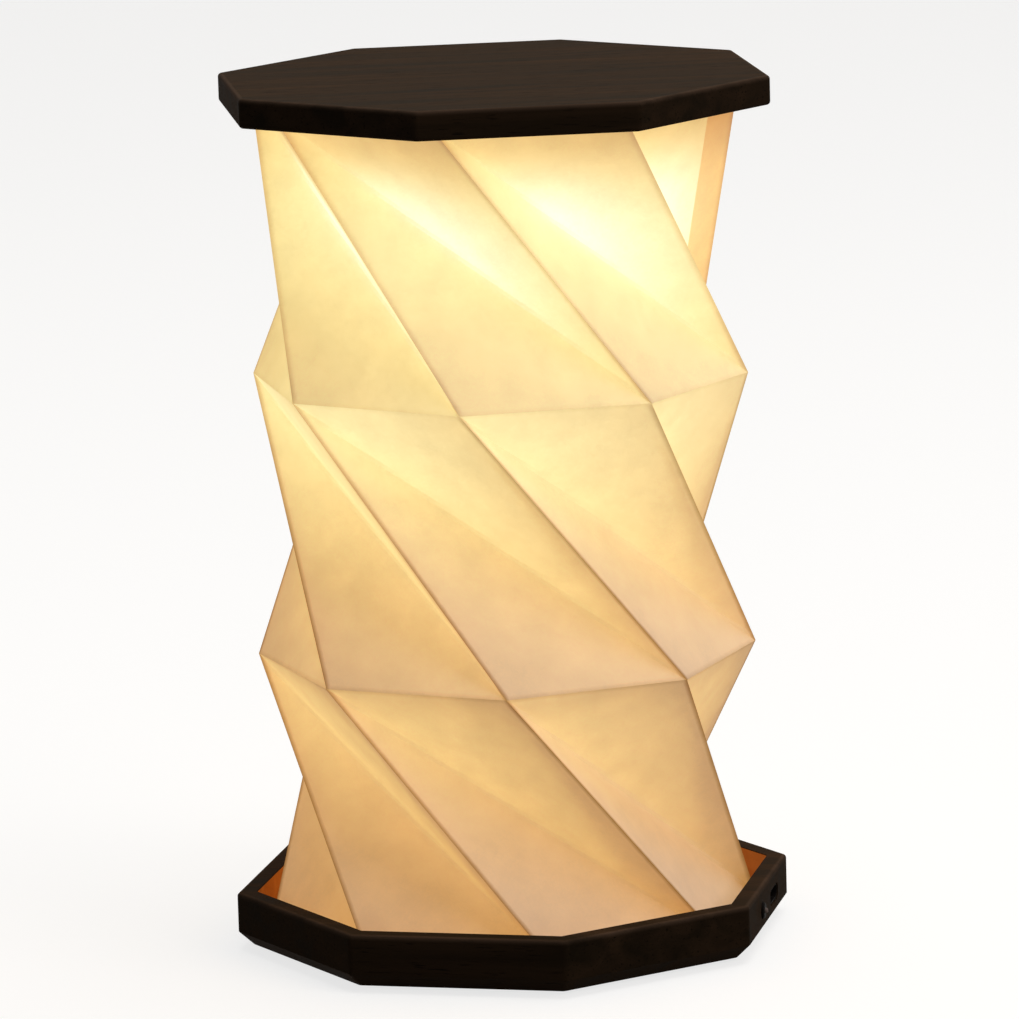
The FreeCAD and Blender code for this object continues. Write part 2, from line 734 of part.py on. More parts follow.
def make_shade():
    """Paper tube of three tiers, with a flat hem turned in at each end."""
    half = math.cos(math.radians(HALF_CORNER))
    inner_radius = size("corner_radius") - size("rim_width") / half
    radius = inner_radius - size("shade_clearance")
    thickness = size("paper_thickness")
    levels = [(size("foot_height") + size("tray_floor"), 0.0)]
    for name in ("lower_turn", "middle_turn", "upper_turn"):
        turn = size(name)
        span = 2 * radius**2 * (1 - math.cos(math.radians(turn)))
        rise = math.sqrt(size("crease_length") ** 2 - span)
        levels.append((levels[-1][0] + rise, levels[-1][1] + turn))
    (low, _), (high, top_turn) = levels[0], levels[-1]
    inner_levels = [(low + thickness, 0.0), *levels[1:-1], (high - thickness, top_turn)]
    tube = twisted_tube(radius, levels).cut(twisted_tube(radius - INSET_SHARE * thickness, inner_levels))

    past = size("overrun")
    open_flat = radius * half - size("hem_width")
    distance = radius * half - size("strip_setback") - size("strip_width") / 2
    for bottom, top, turn in (
        (low - past, low + thickness + past, 0.0),
        (high - thickness - past, high + past, top_turn),
    ):
        cuts = [octagon_prism(open_flat, bottom, top, turn), *hem_holes(bottom, top, turn, distance)]
        tube = tube.cut(Part.makeCompound(cuts))

    feature = doc.addObject("Part::Feature", "paper_shade")
    feature.Label = "paper_shade"
    (feature.Shape,) = tube.Solids
    feature.Placement = FreeCAD.Placement()
    pieces.append(feature)
    return high - size("plate_pocket")


def make_top_plate():
    """Walnut plate with a shallow pocket below, where the paper and the light unit are held."""
    body = new_body("top_plate", on_top=True)
    outline = new_sketch(body, "Outline")
    octagon(outline, OUTER_FLAT)
    pad(body, outline, "plate_height")
    soften(body, "Fillet", "Radius", "corner_round", is_upright)
    for end in (lies_highest, lies_lowest):
        doc.recompute()
        soften(body, "Fillet", "Radius", "edge_round", end(body))
    recess = new_sketch(body, "Recess")
    octagon(recess, INNER_FLAT)
    pocket(body, recess, "plate_pocket", forward=True)
    pilot_holes(body, "plate_pocket", "screw_bite", STRIP_SCREW_SPOTS, SIDES, upward=True)
    pilot_holes(body, "plate_pocket", "screw_bite", LED_SCREW_SPOTS, SCREWS_PER_COVER, upward=True)


def make_light_unit():
    """Round board of diodes in the top plate's pocket, under an opal cover."""
    board = new_body("led_board", on_top=True)
    disc = new_sketch(board, "Disc", "plate_pocket")
    circle(disc, "led_board_radius")
    pad(board, disc, "led_board_thickness", backward=True)
    spots = LED_SCREW_SPOTS
    pilot_holes(board, "plate_pocket", "led_board_thickness", spots, SCREWS_PER_COVER, upward=False)
    seat = (LED_BOARD_FACE, "led_board_thickness")
    screw_group("led_screws", seat, spots, SCREWS_PER_COVER, upward=True, on_top=True)

    chips = new_body("led_chips", on_top=True)
    chip = new_sketch(chips, "Chip", LED_BOARD_FACE)
    box_about(chip, "led_distance", "0", "led_width", "led_length")
    around(chips, [pad(chips, chip, "led_height", backward=True)], LED_COUNT)

    cover = new_body("led_diffuser", on_top=True)
    profile = new_sketch(cover, "Profile", "0", "XZ_Plane")
    low = "(plate_pocket - diffuser_depth)"
    inside = f"({low} + diffuser_wall)"
    polygon(
        profile,
        [
            (DIFFUSER_OUTER, "plate_pocket"),
            (DIFFUSER_INNER, "plate_pocket"),
            (DIFFUSER_INNER, inside),
            ("0", inside),
            ("0", low),
            (DIFFUSER_OUTER, low),
        ],
    )
    revolve(cover, profile)
    doc.recompute()
    soften(cover, "Fillet", "Radius", "moulded_round", lies_lowest(cover))

    magnet = new_body("top_magnet", on_top=True)
    disc = new_sketch(magnet, "Disc", LED_BOARD_FACE)
    circle(disc, "magnet_radius")
    pad(magnet, disc, "magnet_thickness", backward=True)

    socket = new_body("top_lead_socket", on_top=True)
    block = new_sketch(socket, "Block", LED_BOARD_FACE)
    box_about(block, "0", "-socket_distance", "socket_length", "socket_width")
    pad(socket, block, "socket_height", backward=True)


make_tray()
make_feet()
make_hatch()
make_cup()
make_control_board()
make_port_board()
make_usb_socket()
make_button()
make_strips("lower_hem_strips", f"({FLOOR_Z} + paper_thickness)")
screw_group(
    "lower_strip_screws",
    (f"({FLOOR_Z} + {STRIP_STACK})", STRIP_STACK),
    STRIP_SCREW_SPOTS,
    SIDES,
    upward=False,
)
plate_height = make_shade()
make_top_plate()
make_strips("upper_hem_strips", f"(plate_pocket - {STRIP_STACK})", on_top=True)
screw_group(
    "upper_strip_screws",
    (f"(plate_pocket - {STRIP_STACK})", STRIP_STACK),
    STRIP_SCREW_SPOTS,
    SIDES,
    upward=True,
    on_top=True,
)
make_light_unit()
doc.recompute()

for item in doc.Objects:
    if "Invalid" in item.State or "Error" in item.State:
        raise RuntimeError(f"{item.Label} failed: {item.State}")
os.makedirs("parts", exist_ok=True)
for piece in pieces:
    if piece.Shape.isNull() or not piece.Shape.isValid():
        raise RuntimeError(f"{piece.Label} has no valid shape")
    piece.Shape.exportStep(f"parts/{piece.Label}.step")
    print(piece.Label, len(piece.Shape.Solids), "solids", round(piece.Shape.Volume, 2), "mm3")

closed_height = size("foot_height") + size("tray_height") + size("closed_gap")
turned = size("lower_turn") + size("middle_turn") + size("upper_turn")
print("plate underside", round(plate_height, 4), "fold travel", round(plate_height - closed_height, 4))
print("turn from open to closed", round(CLOSED_STEPS * 2 * HALF_CORNER - turned, 4))
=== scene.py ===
# %% [markdown]
# # A folding paper lantern
# The lantern is a walnut tray, a tube of folded paper and a walnut top plate that is pressed down
# and turned to close it. The wood and the works inside come from the CAD model, at their real size.
# This lesson gives each of them its finish, folds the paper, lights it and aims the camera.

# %% Load the imported model
import json
import math

import bmesh
import bpy
import numpy as np
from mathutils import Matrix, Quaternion, Vector
from mathutils.bvhtree import BVHTree

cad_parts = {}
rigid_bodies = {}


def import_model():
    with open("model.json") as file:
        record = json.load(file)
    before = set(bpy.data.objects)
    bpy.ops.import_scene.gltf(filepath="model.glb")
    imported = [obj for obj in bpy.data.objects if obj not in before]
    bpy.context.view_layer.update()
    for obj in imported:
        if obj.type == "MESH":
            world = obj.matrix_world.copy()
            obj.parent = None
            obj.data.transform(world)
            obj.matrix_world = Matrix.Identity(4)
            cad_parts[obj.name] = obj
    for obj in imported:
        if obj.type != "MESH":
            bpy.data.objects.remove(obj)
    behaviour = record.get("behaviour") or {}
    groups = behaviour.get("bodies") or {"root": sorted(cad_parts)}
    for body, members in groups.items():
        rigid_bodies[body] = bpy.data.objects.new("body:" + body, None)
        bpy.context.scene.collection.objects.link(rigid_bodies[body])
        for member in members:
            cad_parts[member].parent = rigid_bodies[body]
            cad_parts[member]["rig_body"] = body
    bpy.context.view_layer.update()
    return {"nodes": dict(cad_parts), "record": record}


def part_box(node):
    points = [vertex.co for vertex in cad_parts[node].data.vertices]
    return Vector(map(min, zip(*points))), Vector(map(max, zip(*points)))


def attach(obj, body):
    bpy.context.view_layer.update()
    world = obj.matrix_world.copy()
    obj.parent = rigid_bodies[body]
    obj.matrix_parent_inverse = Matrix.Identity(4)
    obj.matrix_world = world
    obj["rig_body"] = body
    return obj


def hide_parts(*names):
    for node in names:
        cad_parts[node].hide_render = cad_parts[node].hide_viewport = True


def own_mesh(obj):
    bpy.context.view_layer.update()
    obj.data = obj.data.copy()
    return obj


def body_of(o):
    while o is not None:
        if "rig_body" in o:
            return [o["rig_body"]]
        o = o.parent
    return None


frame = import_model()
nodes = frame["nodes"]
MM = 0.001
SIDES = 8
STEP = 2 * math.pi / SIDES

# %% [markdown]
# ## The camera
# The picture was taken from far away with a long lens, a little above the lantern and a little
# to one side of the facet with the charging socket. A camera could be aimed by hand until the
# picture looks right, but here its distance, height and lens were worked out from the corners of
# the tray, the folds and the plate, so each number below has a meaning. The last turn tips the
# picture, because the photographer held the camera at a slight slant.

# %% Make the camera
CAMERA_TURN = math.radians(12.56)
CAMERA_RISE = math.radians(10.88)
CAMERA_DISTANCE = 1402.5 * MM
CAMERA_SLANT = math.radians(-1.63)
LENS_SHARE = 6601 / 1019
SENSOR = 36.0
AIM_RIGHT = 1.33 * MM
AIM_HEIGHT = 92.0 * MM

camera = bpy.data.objects.new("camera", bpy.data.cameras.new("camera"))
bpy.context.scene.collection.objects.link(camera)
bpy.context.scene.camera = camera
camera.data.sensor_width = SENSOR
camera.data.lens = SENSOR * LENS_SHARE
outward = math.cos(CAMERA_RISE)
back = Vector((math.sin(CAMERA_TURN) * outward, -math.cos(CAMERA_TURN) * outward, math.sin(CAMERA_RISE)))
aim = Vector((AIM_RIGHT * math.cos(CAMERA_TURN), AIM_RIGHT * math.sin(CAMERA_TURN), AIM_HEIGHT))
camera.location = aim + back * CAMERA_DISTANCE
camera.rotation_mode = "QUATERNION"
camera.rotation_quaternion = (-back).to_track_quat("-Z", "Y") @ Quaternion((0, 0, 1), CAMERA_SLANT)
print("camera at", [round(value, 4) for value in camera.location])

# %% [markdown]
# ## A few small tools
# Colours are written as sRGB hex values, as in a paint program, and Blender wants linear ones, so
# one function converts them. A second one adds a node to a tree, sets it up and links it. With
# these two, a material or a Geometry Nodes tree reads from top to bottom. A third links what every
# material has: a colour, a roughness and sometimes dents. Nearly all of a noise pattern lies between
# 0.3 and 0.7, which MOST stands for.

# %% Colour and node tools
MATH = "ShaderNodeMath"
VECTOR = "ShaderNodeVectorMath"
MIX = "ShaderNodeMix"
NOISE = "ShaderNodeTexNoise"
RANGE = "ShaderNodeMapRange"
SPLIT = "ShaderNodeSeparateXYZ"
JOIN = "ShaderNodeCombineXYZ"
PLACE = "ShaderNodeTexCoord"
MOVE = "GeometryNodeSetPosition"
STORE = "GeometryNodeStoreNamedAttribute"
COLOURS = {"out": 2, "data_type": "RGBA"}
MOST = (0.3, 0.7)


def linear(code):
    """Linear colour, with alpha, from a hex code such as c8a064."""
    parts = [int(code[place:place + 2], 16) / 255 for place in (0, 2, 4)]
    return [part / 12.92 if part <= 0.04045 else ((part + 0.055) / 1.055) ** 2.4 for part in parts] + [1.0]


def add(tree, kind, inputs=(), out=0, **settings):
    """Add a node, set it up, feed its inputs with values or sockets, and give one of its outputs."""
    node = tree.nodes.new(kind)
    for name, value in settings.items():
        setattr(node, name, value)
    pairs = inputs.items() if isinstance(inputs, dict) else enumerate(inputs)
    for key, source in pairs:
        if isinstance(source, bpy.types.NodeSocket):
            tree.links.new(source, node.inputs[key])
        else:
            node.inputs[key].default_value = source
    return node.outputs[out]


def new_material(name, plain):
    """A material with one Principled shader, whose plain values are set on its own sockets."""
    material = bpy.data.materials.new(name)
    material.use_nodes = True
    surface = material.node_tree.nodes["Principled BSDF"]
    for socket, value in plain.items():
        surface.inputs[socket].default_value = value
    return material, material.node_tree, surface.inputs


def dress(tree, surface, colour, roughness, height=None, depth=0.0, strength=0.0):
    """Link a material's colour, its roughness and the height of its dents to the shader."""
    tree.links.new(colour, surface["Base Color"])
    tree.links.new(roughness, surface["Roughness"])
    if height is not None:
        bump = add(tree, "ShaderNodeBump", {"Height": height, "Distance": depth, "Strength": strength})
        tree.links.new(bump, surface["Normal"])


def show(piece):
    """Put a piece into the scene."""
    bpy.context.scene.collection.objects.link(piece)


def give_finish(node, material):
    """Put a material on a CAD node in place of its plain one."""
    nodes[node].data.materials.clear()
    nodes[node].data.materials.append(material)


def per(size_mm):
    """Scale of a texture whose pattern repeats about every so many millimetres."""
    return 1 / (size_mm * MM)


# %% [markdown]
# ## The folding rule
# The shade is one sheet, creased in three tiers and rolled into a tube. Each ring crease is an
# octagon, turned against the one below. Between two rings run ridges, from a corner to the same
# corner of the next ring, and valleys, from a corner to the corner before it. The rings of the CAD
# sheet give the radius, the heights and the turns, so they are read from its outermost corners.
# Each tier turns by a little more than one side.

# %% Read the rings from the CAD sheet
sheet_points = np.array([vertex.co for vertex in nodes["paper_shade"].data.vertices])
reach = np.hypot(sheet_points[:, 0], sheet_points[:, 1])
RADIUS = float(reach.max())
ring_points = sheet_points[reach > RADIUS - 0.01 * MM]
RING_HEIGHTS = np.unique(np.round(ring_points[:, 2], 6))
phases = []
for height in RING_HEIGHTS:
    corner = ring_points[np.abs(ring_points[:, 2] - height) < 0.01 * MM][0]
    phases.append(math.atan2(corner[1], corner[0]) - STEP / 2)
turns = [0.0]
for lower, upper in zip(phases, phases[1:]):
    turns.append(turns[-1] + STEP + (lower - upper) % STEP)
TIERS = len(RING_HEIGHTS) - 1
print("rings at mm", np.round(RING_HEIGHTS / MM, 2), "turned by", np.round(np.degrees(turns), 2))

# %% [markdown]
# ## Oiled walnut
# Tray and plate are walnut, stained nearly black, sanded and oiled. The eye sees a dull, very dark
# brown with faint long streaks and short open pores. The edges are rubbed a little paler, and this
# paler band is also a painted highlight along them. The upper faces are painted lighter, as painted
# light from above. Streaks and pores are noise stretched along the grain in three dimensions, so
# the end grain comes out right by itself. The inside of the tray is drawn in a lighter orange-brown,
# and the light of the lamp falls on it too. The distance from the axis, measured square to the
# nearest of the eight sides, tells the inside from the outside and finds the edges. Pores are a
# fifth of a millimetre wide on real walnut, and are drawn twice as wide so that they show.

# %% Make the walnut
STREAK_MM = 5.0
PORE_MM = 0.5
GRAIN_STRETCH = 0.06
PORE_STRETCH = 0.09
PORE_EDGE = (0.6, 0.72)
RIM_WIDTH = 4.0 * MM
EDGE_BAND_WIDTH = 0.8 * MM
TOP_LIGHT_GAIN = 1.62
SKIN = 0.2 * MM
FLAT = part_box("base_tray")[1].x


def oiled_walnut(node, octagon_turn, grain_turn):
    low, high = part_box(node)
    material, tree, surface = new_material(f"oiled_walnut_{node}", {"Specular IOR Level": 0.008, "IOR": 1.5})
    spot = add(tree, PLACE, out="Object")

    # Streaks and pores along the grain
    turned = add(tree, "ShaderNodeMapping", {"Vector": spot, "Rotation": (0, 0, grain_turn)})
    along = add(tree, "ShaderNodeMapping", {"Vector": turned, "Scale": (GRAIN_STRETCH, 1, 1)})
    streaks = add(tree, NOISE, {"Vector": along, "Scale": per(STREAK_MM), "Detail": 4, "Distortion": 0.6})
    short = add(tree, "ShaderNodeMapping", {"Vector": turned, "Scale": (PORE_STRETCH, 1, 1)})
    pores = add(tree, NOISE, {"Vector": short, "Scale": per(PORE_MM), "Detail": 2})
    open_pores = add(tree, RANGE, [pores, *PORE_EDGE])

    # Distance from the axis, square to the nearest side
    square = add(tree, "ShaderNodeMapping", {"Vector": spot, "Rotation": (0, 0, octagon_turn)})
    mirrored = add(tree, VECTOR, [square], operation="ABSOLUTE")
    x, y, z = add(tree, SPLIT, [mirrored]).node.outputs
    straight = add(tree, MATH, [x, y], operation="MAXIMUM")
    both = add(tree, MATH, [x, y], operation="ADD")
    slanted = add(tree, MATH, [both, math.sqrt(0.5)], operation="MULTIPLY")
    from_axis = add(tree, MATH, [straight, slanted], operation="MAXIMUM")

    # Stained outside, rubbed paler with a painted highlight along the upper edge, painted top light, lighter
    # orange-brown inside
    shades = add(tree, "ShaderNodeValToRGB", [streaks])
    stops = shades.node.color_ramp.elements
    stops[0].position, stops[0].color = 0.3, linear("1a140d")
    stops[1].position, stops[1].color = 0.72, linear("2e2218")
    stained = add(tree, MIX, {0: open_pores, 6: shades, 7: linear("130e09")}, **COLOURS)
    # Painted highlight: the band along the upper outer edge is drawn paler, partly as rubbed wear and partly
    # as a highlight
    to_edge = add(tree, MATH, [from_axis, z], operation="ADD")
    edge = FLAT + high.z
    edge_band = add(tree, RANGE, [to_edge, edge - 1.4 * EDGE_BAND_WIDTH, edge - 0.5 * EDGE_BAND_WIDTH])
    patchy = add(tree, MATH, [edge_band, streaks], operation="MULTIPLY")
    rubbed_and_highlit = add(tree, MIX, {0: patchy, 6: stained, 7: linear("46372d")}, **COLOURS)
    # Painted light from above: the upper faces are drawn up to TOP_LIGHT_GAIN times lighter than the sides
    upper_face = (high.z - 0.4 * EDGE_BAND_WIDTH, high.z - 0.05 * EDGE_BAND_WIDTH)
    top_lift = add(tree, RANGE, [z, *upper_face, 1, TOP_LIGHT_GAIN])
    with_top_light = add(tree, VECTOR, {0: rubbed_and_highlit, "Scale": top_lift}, operation="SCALE")
    # The inside of the tray is drawn in a lighter orange-brown, and the lamp's light also falls on it
    inside_wall = add(tree, MATH, [from_axis, FLAT - RIM_WIDTH + SKIN], operation="LESS_THAN")
    for limit, side in ((low.z + EDGE_BAND_WIDTH, "GREATER_THAN"), (high.z - SKIN, "LESS_THAN")):
        within = add(tree, MATH, [z, limit], operation=side)
        inside_wall = add(tree, MATH, [inside_wall, within], operation="MULTIPLY")
    inside_brown = add(tree, MIX, {0: streaks, 6: linear("9a5c2a"), 7: linear("c98548")}, **COLOURS)
    wood = add(tree, MIX, {0: inside_wall, 6: with_top_light, 7: inside_brown}, **COLOURS)

    # A dull oil finish, with the pores as dents
    dullness = add(tree, RANGE, [streaks, *MOST, 0.66, 0.8])
    height = add(tree, MATH, [open_pores, -1.0], operation="MULTIPLY")
    dress(tree, surface, wood, dullness, height, 0.04 * MM, 0.6)
    return material


give_finish("base_tray", oiled_walnut("base_tray", 0.0, 0.0))
give_finish("top_plate", oiled_walnut("top_plate", turns[-1], math.radians(-20)))
print("octagons", round(2 * FLAT / MM, 1), "mm across flats, with a rim of", RIM_WIDTH / MM, "mm")

# %% [markdown]
# ## Folding the sheet
# A shape that follows a rule suits Geometry Nodes. The tree starts from a flat grid whose X counts
# corners round the lantern and whose Y counts tiers. For each point it finds the four corners of
# its cell on the two rings, blends between them, and bends the cell along its valley. The valley
# is eased, because real paper rounds there, and the panels get a slight wave. Rows past the first
# and last ring turn in flat: these are the hems that the strips clamp.

# %% Build the folding tree
COLUMNS_PER_SIDE = 24
ROWS_PER_TIER = 32
HEM_ROWS = 2
HEM_WIDTH = 7.0 * MM
VALLEY_EASE = 0.1
CREASE_ANGLE = math.radians(16)
WAVE_HEIGHT = 0.9 * MM
WAVE_MM = 26.0
WELD = 0.005 * MM


def folding_tree(material):
    tree = bpy.data.node_groups.new("twisted_fold", "GeometryNodeTree")
    rings = [f"Ring {index}" for index in range(TIERS + 1)]
    for name in rings:
        tree.interface.new_socket(name, in_out="INPUT", socket_type="NodeSocketVector")
    for name in ("Radius", "Hem share", "Valley ease", "Wave height"):
        tree.interface.new_socket(name, in_out="INPUT", socket_type="NodeSocketFloat")
    tree.interface.new_socket("Mesh", in_out="OUTPUT", socket_type="NodeSocketGeometry")
    given = tree.nodes.new("NodeGroupInput").outputs

    # The flat grid, counted in sides and tiers
    hem_span = HEM_ROWS / ROWS_PER_TIER
    columns = SIDES * COLUMNS_PER_SIDE + 1
    rows = TIERS * ROWS_PER_TIER + 2 * HEM_ROWS + 1
    grid = add(tree, "GeometryNodeMeshGrid", [SIDES, TIERS + 2 * hem_span, columns, rows])
    spot = add(tree, "GeometryNodeInputPosition")
    around = add(tree, SPLIT, [spot])
    rise = add(tree, MATH, [around.node.outputs[1], TIERS / 2], operation="ADD")
    inside = add(tree, "ShaderNodeClamp", [rise, 0, TIERS])
    side = add(tree, MATH, [around], operation="FLOOR")
    s = add(tree, MATH, [around], operation="FRACT")
    whole = add(tree, MATH, [inside], operation="FLOOR")
    tier = add(tree, MATH, [whole, TIERS - 1], operation="MINIMUM")
    t = add(tree, MATH, [inside, tier], operation="SUBTRACT")

    # The two corners below and the two corners above
    first_angle = add(tree, MATH, [side, STEP, STEP / 2], operation="MULTIPLY_ADD")
    corners = []
    for names in (rings[:-1], rings[1:]):
        pick = tree.nodes.new("GeometryNodeIndexSwitch")
        pick.data_type = "VECTOR"
        while len(pick.index_switch_items) < TIERS:
            pick.index_switch_items.new()
        tree.links.new(tier, pick.inputs[0])
        for index, name in enumerate(names):
            tree.links.new(given[name], pick.inputs[index + 1])
        turn = add(tree, SPLIT, [pick.outputs[0]])
        start = add(tree, JOIN, [given["Radius"], 0, turn.node.outputs[1]])
        angle = add(tree, MATH, [first_angle, turn], operation="SUBTRACT")
        next_angle = add(tree, MATH, [angle, STEP], operation="ADD")
        for bearing in (angle, next_angle):
            about = {"Vector": start, "Angle": bearing}
            corners.append(add(tree, "ShaderNodeVectorRotate", about, rotation_type="Z_AXIS"))

    # Blend the corners, then bend the cell along its valley
    low = add(tree, MIX, {0: s, 4: corners[0], 5: corners[1]}, out=1, data_type="VECTOR")
    high = add(tree, MIX, {0: s, 4: corners[2], 5: corners[3]}, out=1, data_type="VECTOR")
    smooth = add(tree, MIX, {0: t, 4: low, 5: high}, out=1, data_type="VECTOR")
    low_edge = add(tree, VECTOR, [corners[0], corners[1]], operation="SUBTRACT")
    high_edge = add(tree, VECTOR, [corners[2], corners[3]], operation="SUBTRACT")
    twist = add(tree, VECTOR, [low_edge, high_edge], operation="SUBTRACT")
    s_left = add(tree, MATH, [1, s], operation="SUBTRACT")
    t_left = add(tree, MATH, [1, t], operation="SUBTRACT")
    s_hump = add(tree, MATH, [s, s_left], operation="MULTIPLY")
    t_hump = add(tree, MATH, [t, t_left], operation="MULTIPLY")
    ease = add(tree, MATH, [t_hump, given["Valley ease"]], operation="MULTIPLY")
    past = add(tree, MATH, [s, t_left], operation="SUBTRACT")
    fold = add(tree, MATH, [past, 0, ease], operation="SMOOTH_MAX")
    product = add(tree, MATH, [s, t], operation="MULTIPLY")
    bend = add(tree, MATH, [fold, product], operation="SUBTRACT")
    folded = add(tree, VECTOR, [twist, bend, smooth], operation="MULTIPLY_ADD")

    # Turn the hems in
    beyond = add(tree, MATH, [rise, inside], operation="SUBTRACT")
    excess = add(tree, MATH, [beyond], operation="ABSOLUTE")
    drawn = add(tree, MATH, [excess, given["Hem share"]], operation="MULTIPLY")
    shrink = add(tree, MATH, [1, drawn], operation="SUBTRACT")
    factor = add(tree, JOIN, [shrink, shrink, 1])
    hemmed = add(tree, VECTOR, [folded, factor], operation="MULTIPLY")

    # Keep the place on the flat sheet as the UV map
    share_round = add(tree, MATH, [around, 1 / SIDES, 0.5], operation="MULTIPLY_ADD")
    share_up = add(tree, MATH, [rise, 1 / TIERS], operation="MULTIPLY")
    flat = add(tree, JOIN, [share_round, share_up, 0])
    place = {"Geometry": grid, "Name": "UVMap", "Value": flat}
    mapped = add(tree, STORE, place, data_type="FLOAT2", domain="CORNER")

    # Wave the panels a little, and leave the creases straight
    hump = add(tree, MATH, [s_hump, t_hump], operation="MULTIPLY")
    wave = add(tree, NOISE, {"Vector": hemmed, "Scale": per(WAVE_MM), "Detail": 1})
    swing = add(tree, MATH, [wave, 0.5], operation="SUBTRACT")
    held = add(tree, MATH, [swing, hump], operation="MULTIPLY")
    amount = add(tree, MATH, [held, given["Wave height"]], operation="MULTIPLY")
    wave_store = {"Geometry": mapped, "Name": "wave", "Value": amount}
    kept = add(tree, STORE, wave_store, data_type="FLOAT", domain="POINT")
    placed = add(tree, MOVE, {"Geometry": kept, "Position": hemmed})
    waves = add(tree, "GeometryNodeInputNamedAttribute", {"Name": "wave"}, data_type="FLOAT")
    outward = add(tree, "GeometryNodeInputNormal")
    shift = add(tree, VECTOR, {0: outward, "Scale": waves}, operation="SCALE")
    waved = add(tree, MOVE, {"Geometry": placed, "Offset": shift})

    # Close the tube and split its cells along the valleys
    closed = add(tree, "GeometryNodeMergeByDistance", {"Geometry": waved, "Distance": WELD})
    split = add(tree, "GeometryNodeTriangulate", [closed], quad_method="LONGEST_DIAGONAL")
    real = add(tree, "GeometryNodeRealizeInstances", [split])
    finished = add(tree, "GeometryNodeSetMaterial", {"Geometry": real, "Material": material})
    tree.links.new(finished, tree.nodes.new("NodeGroupOutput").inputs[0])
    return tree


def freeze(piece):
    """Turn what the modifiers make into the piece's own plain mesh."""
    graph = bpy.context.evaluated_depsgraph_get()
    mesh = bpy.data.meshes.new_from_object(
        piece.evaluated_get(graph), preserve_all_data_layers=True, depsgraph=graph
    )
    piece.modifiers.clear()
    piece.data = mesh


def set_inputs(modifier, values):
    """Set a tree's inputs, known by name, through their identifiers."""
    for item in modifier.node_group.interface.items_tree:
        if item.in_out == "INPUT" and item.name in values:
            modifier[item.identifier] = values[item.name]


lantern_paper, paper_tree, paper = new_material("lantern_paper", {"Specular IOR Level": 0.08})
shade = bpy.data.objects.new("folded_shade", bpy.data.meshes.new("folded_shade"))
show(shade)
folding = shade.modifiers.new("fold", "NODES")
folding.node_group = folding_tree(lantern_paper)
flat_distance = RADIUS * math.cos(STEP / 2)
# The humps of a cell peak at a quarter, and their product at a sixteenth
values = {
    "Radius": RADIUS,
    "Hem share": HEM_WIDTH / flat_distance * ROWS_PER_TIER / HEM_ROWS,
    "Valley ease": 4 * VALLEY_EASE,
    "Wave height": 16 * WAVE_HEIGHT,
}
for index, (turn, height) in enumerate(zip(turns, RING_HEIGHTS)):
    values[f"Ring {index}"] = (turn, height, 0.0)
set_inputs(folding, values)
freeze(shade)
shade.data.shade_smooth()
shade.data.set_sharp_from_angle(angle=CREASE_ANGLE)
print("folded sheet:", len(shade.data.vertices), "points,", len(shade.data.polygons), "faces")

# %% [markdown]
# ## Light through the paper
# The diodes sit under the top plate, behind a round opal cover that shines downward. How bright a
# spot of paper looks from outside depends on how squarely its inner side faces that cover, how far
# away it is, and whether a fold of the paper stands in the way. Light that the paper throws back
# then goes from wall to wall and grows warmer each time. All this can be worked out once, with
# rays from each point of the sheet, and kept as a colour on the mesh. That is quicker than tracing
# it in each picture, and a game engine can show it too.

# %% Find the corners of the folds
CLEAR_OF_PAPER = 0.4 * MM
NORMAL_STEPS = 200


def read(collection, attribute, width):
    """Values of one attribute of a mesh, as rows."""
    values = np.empty(len(collection) * width)
    collection.foreach_get(attribute, values)
    return values.reshape(-1, width)


skin = shade.data
skin_points = read(skin.vertices, "co", 3)
skin_faces = read(skin.loops, "vertex_index", 1).astype(int).reshape(-1, 3)
corner_normals = read(skin.corner_normals, "vector", 3)
corner_keys = np.column_stack([skin_faces.ravel(), np.round(corner_normals * NORMAL_STEPS).astype(int)])
first_corners, spot_of_corner = np.unique(corner_keys, axis=0, return_index=True, return_inverse=True)[1:]
spot_of_corner = spot_of_corner.ravel()
inward = -corner_normals[first_corners]
starts = skin_points[skin_faces.ravel()[first_corners]] + CLEAR_OF_PAPER * inward
folds = BVHTree.FromPolygons(skin_points.tolist(), skin_faces.tolist(), all_triangles=True)
print("spots to light:", len(starts))

# %% Light straight from the lamp
LAMP_POINTS = 40
SIDE_SHINE = 0.04
ONE_LIGHT_AT = 100 * MM
GOLDEN = math.pi * (3 - math.sqrt(5))


def lamp_light():
    """Light on each spot from points spread evenly over the underside of the opal cover."""
    low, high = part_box("led_diffuser")
    ranks = np.arange(LAMP_POINTS)
    distance = (high.x - low.x) / 2 * np.sqrt((ranks + 0.5) / LAMP_POINTS)
    heights = np.full(LAMP_POINTS, low.z)
    lamps = np.column_stack([distance * np.cos(GOLDEN * ranks), distance * np.sin(GOLDEN * ranks), heights])
    paths = lamps[None] - starts[:, None]
    lengths = np.linalg.norm(paths, axis=2)
    directions = paths / lengths[:, :, None]
    facing = np.clip(np.einsum("sj,slj->sl", inward, directions), 0, None)
    seen = np.zeros(lengths.shape)
    for spot, start in enumerate(starts.tolist()):
        for lamp in np.nonzero(facing[spot])[0]:
            hit = folds.ray_cast(start, directions[spot, lamp].tolist(), lengths[spot, lamp])
            seen[spot, lamp] = hit[0] is None
    downward = SIDE_SHINE + (1 - SIDE_SHINE) * np.clip(directions[:, :, 2], 0, None)
    return (seen * facing * downward / (lengths / ONE_LIGHT_AT) ** 2).mean(axis=1)


lamp = lamp_light()
print("light from the lamp: most", round(lamp.max(), 2), "middle", round(float(np.median(lamp)), 2))

# %% Light from the other walls
GATHER_RAYS = 96
BOUNCES = 2
PAPER_RETURN = 0.8
ASLANT = (0.3, 0.5, 0.81)


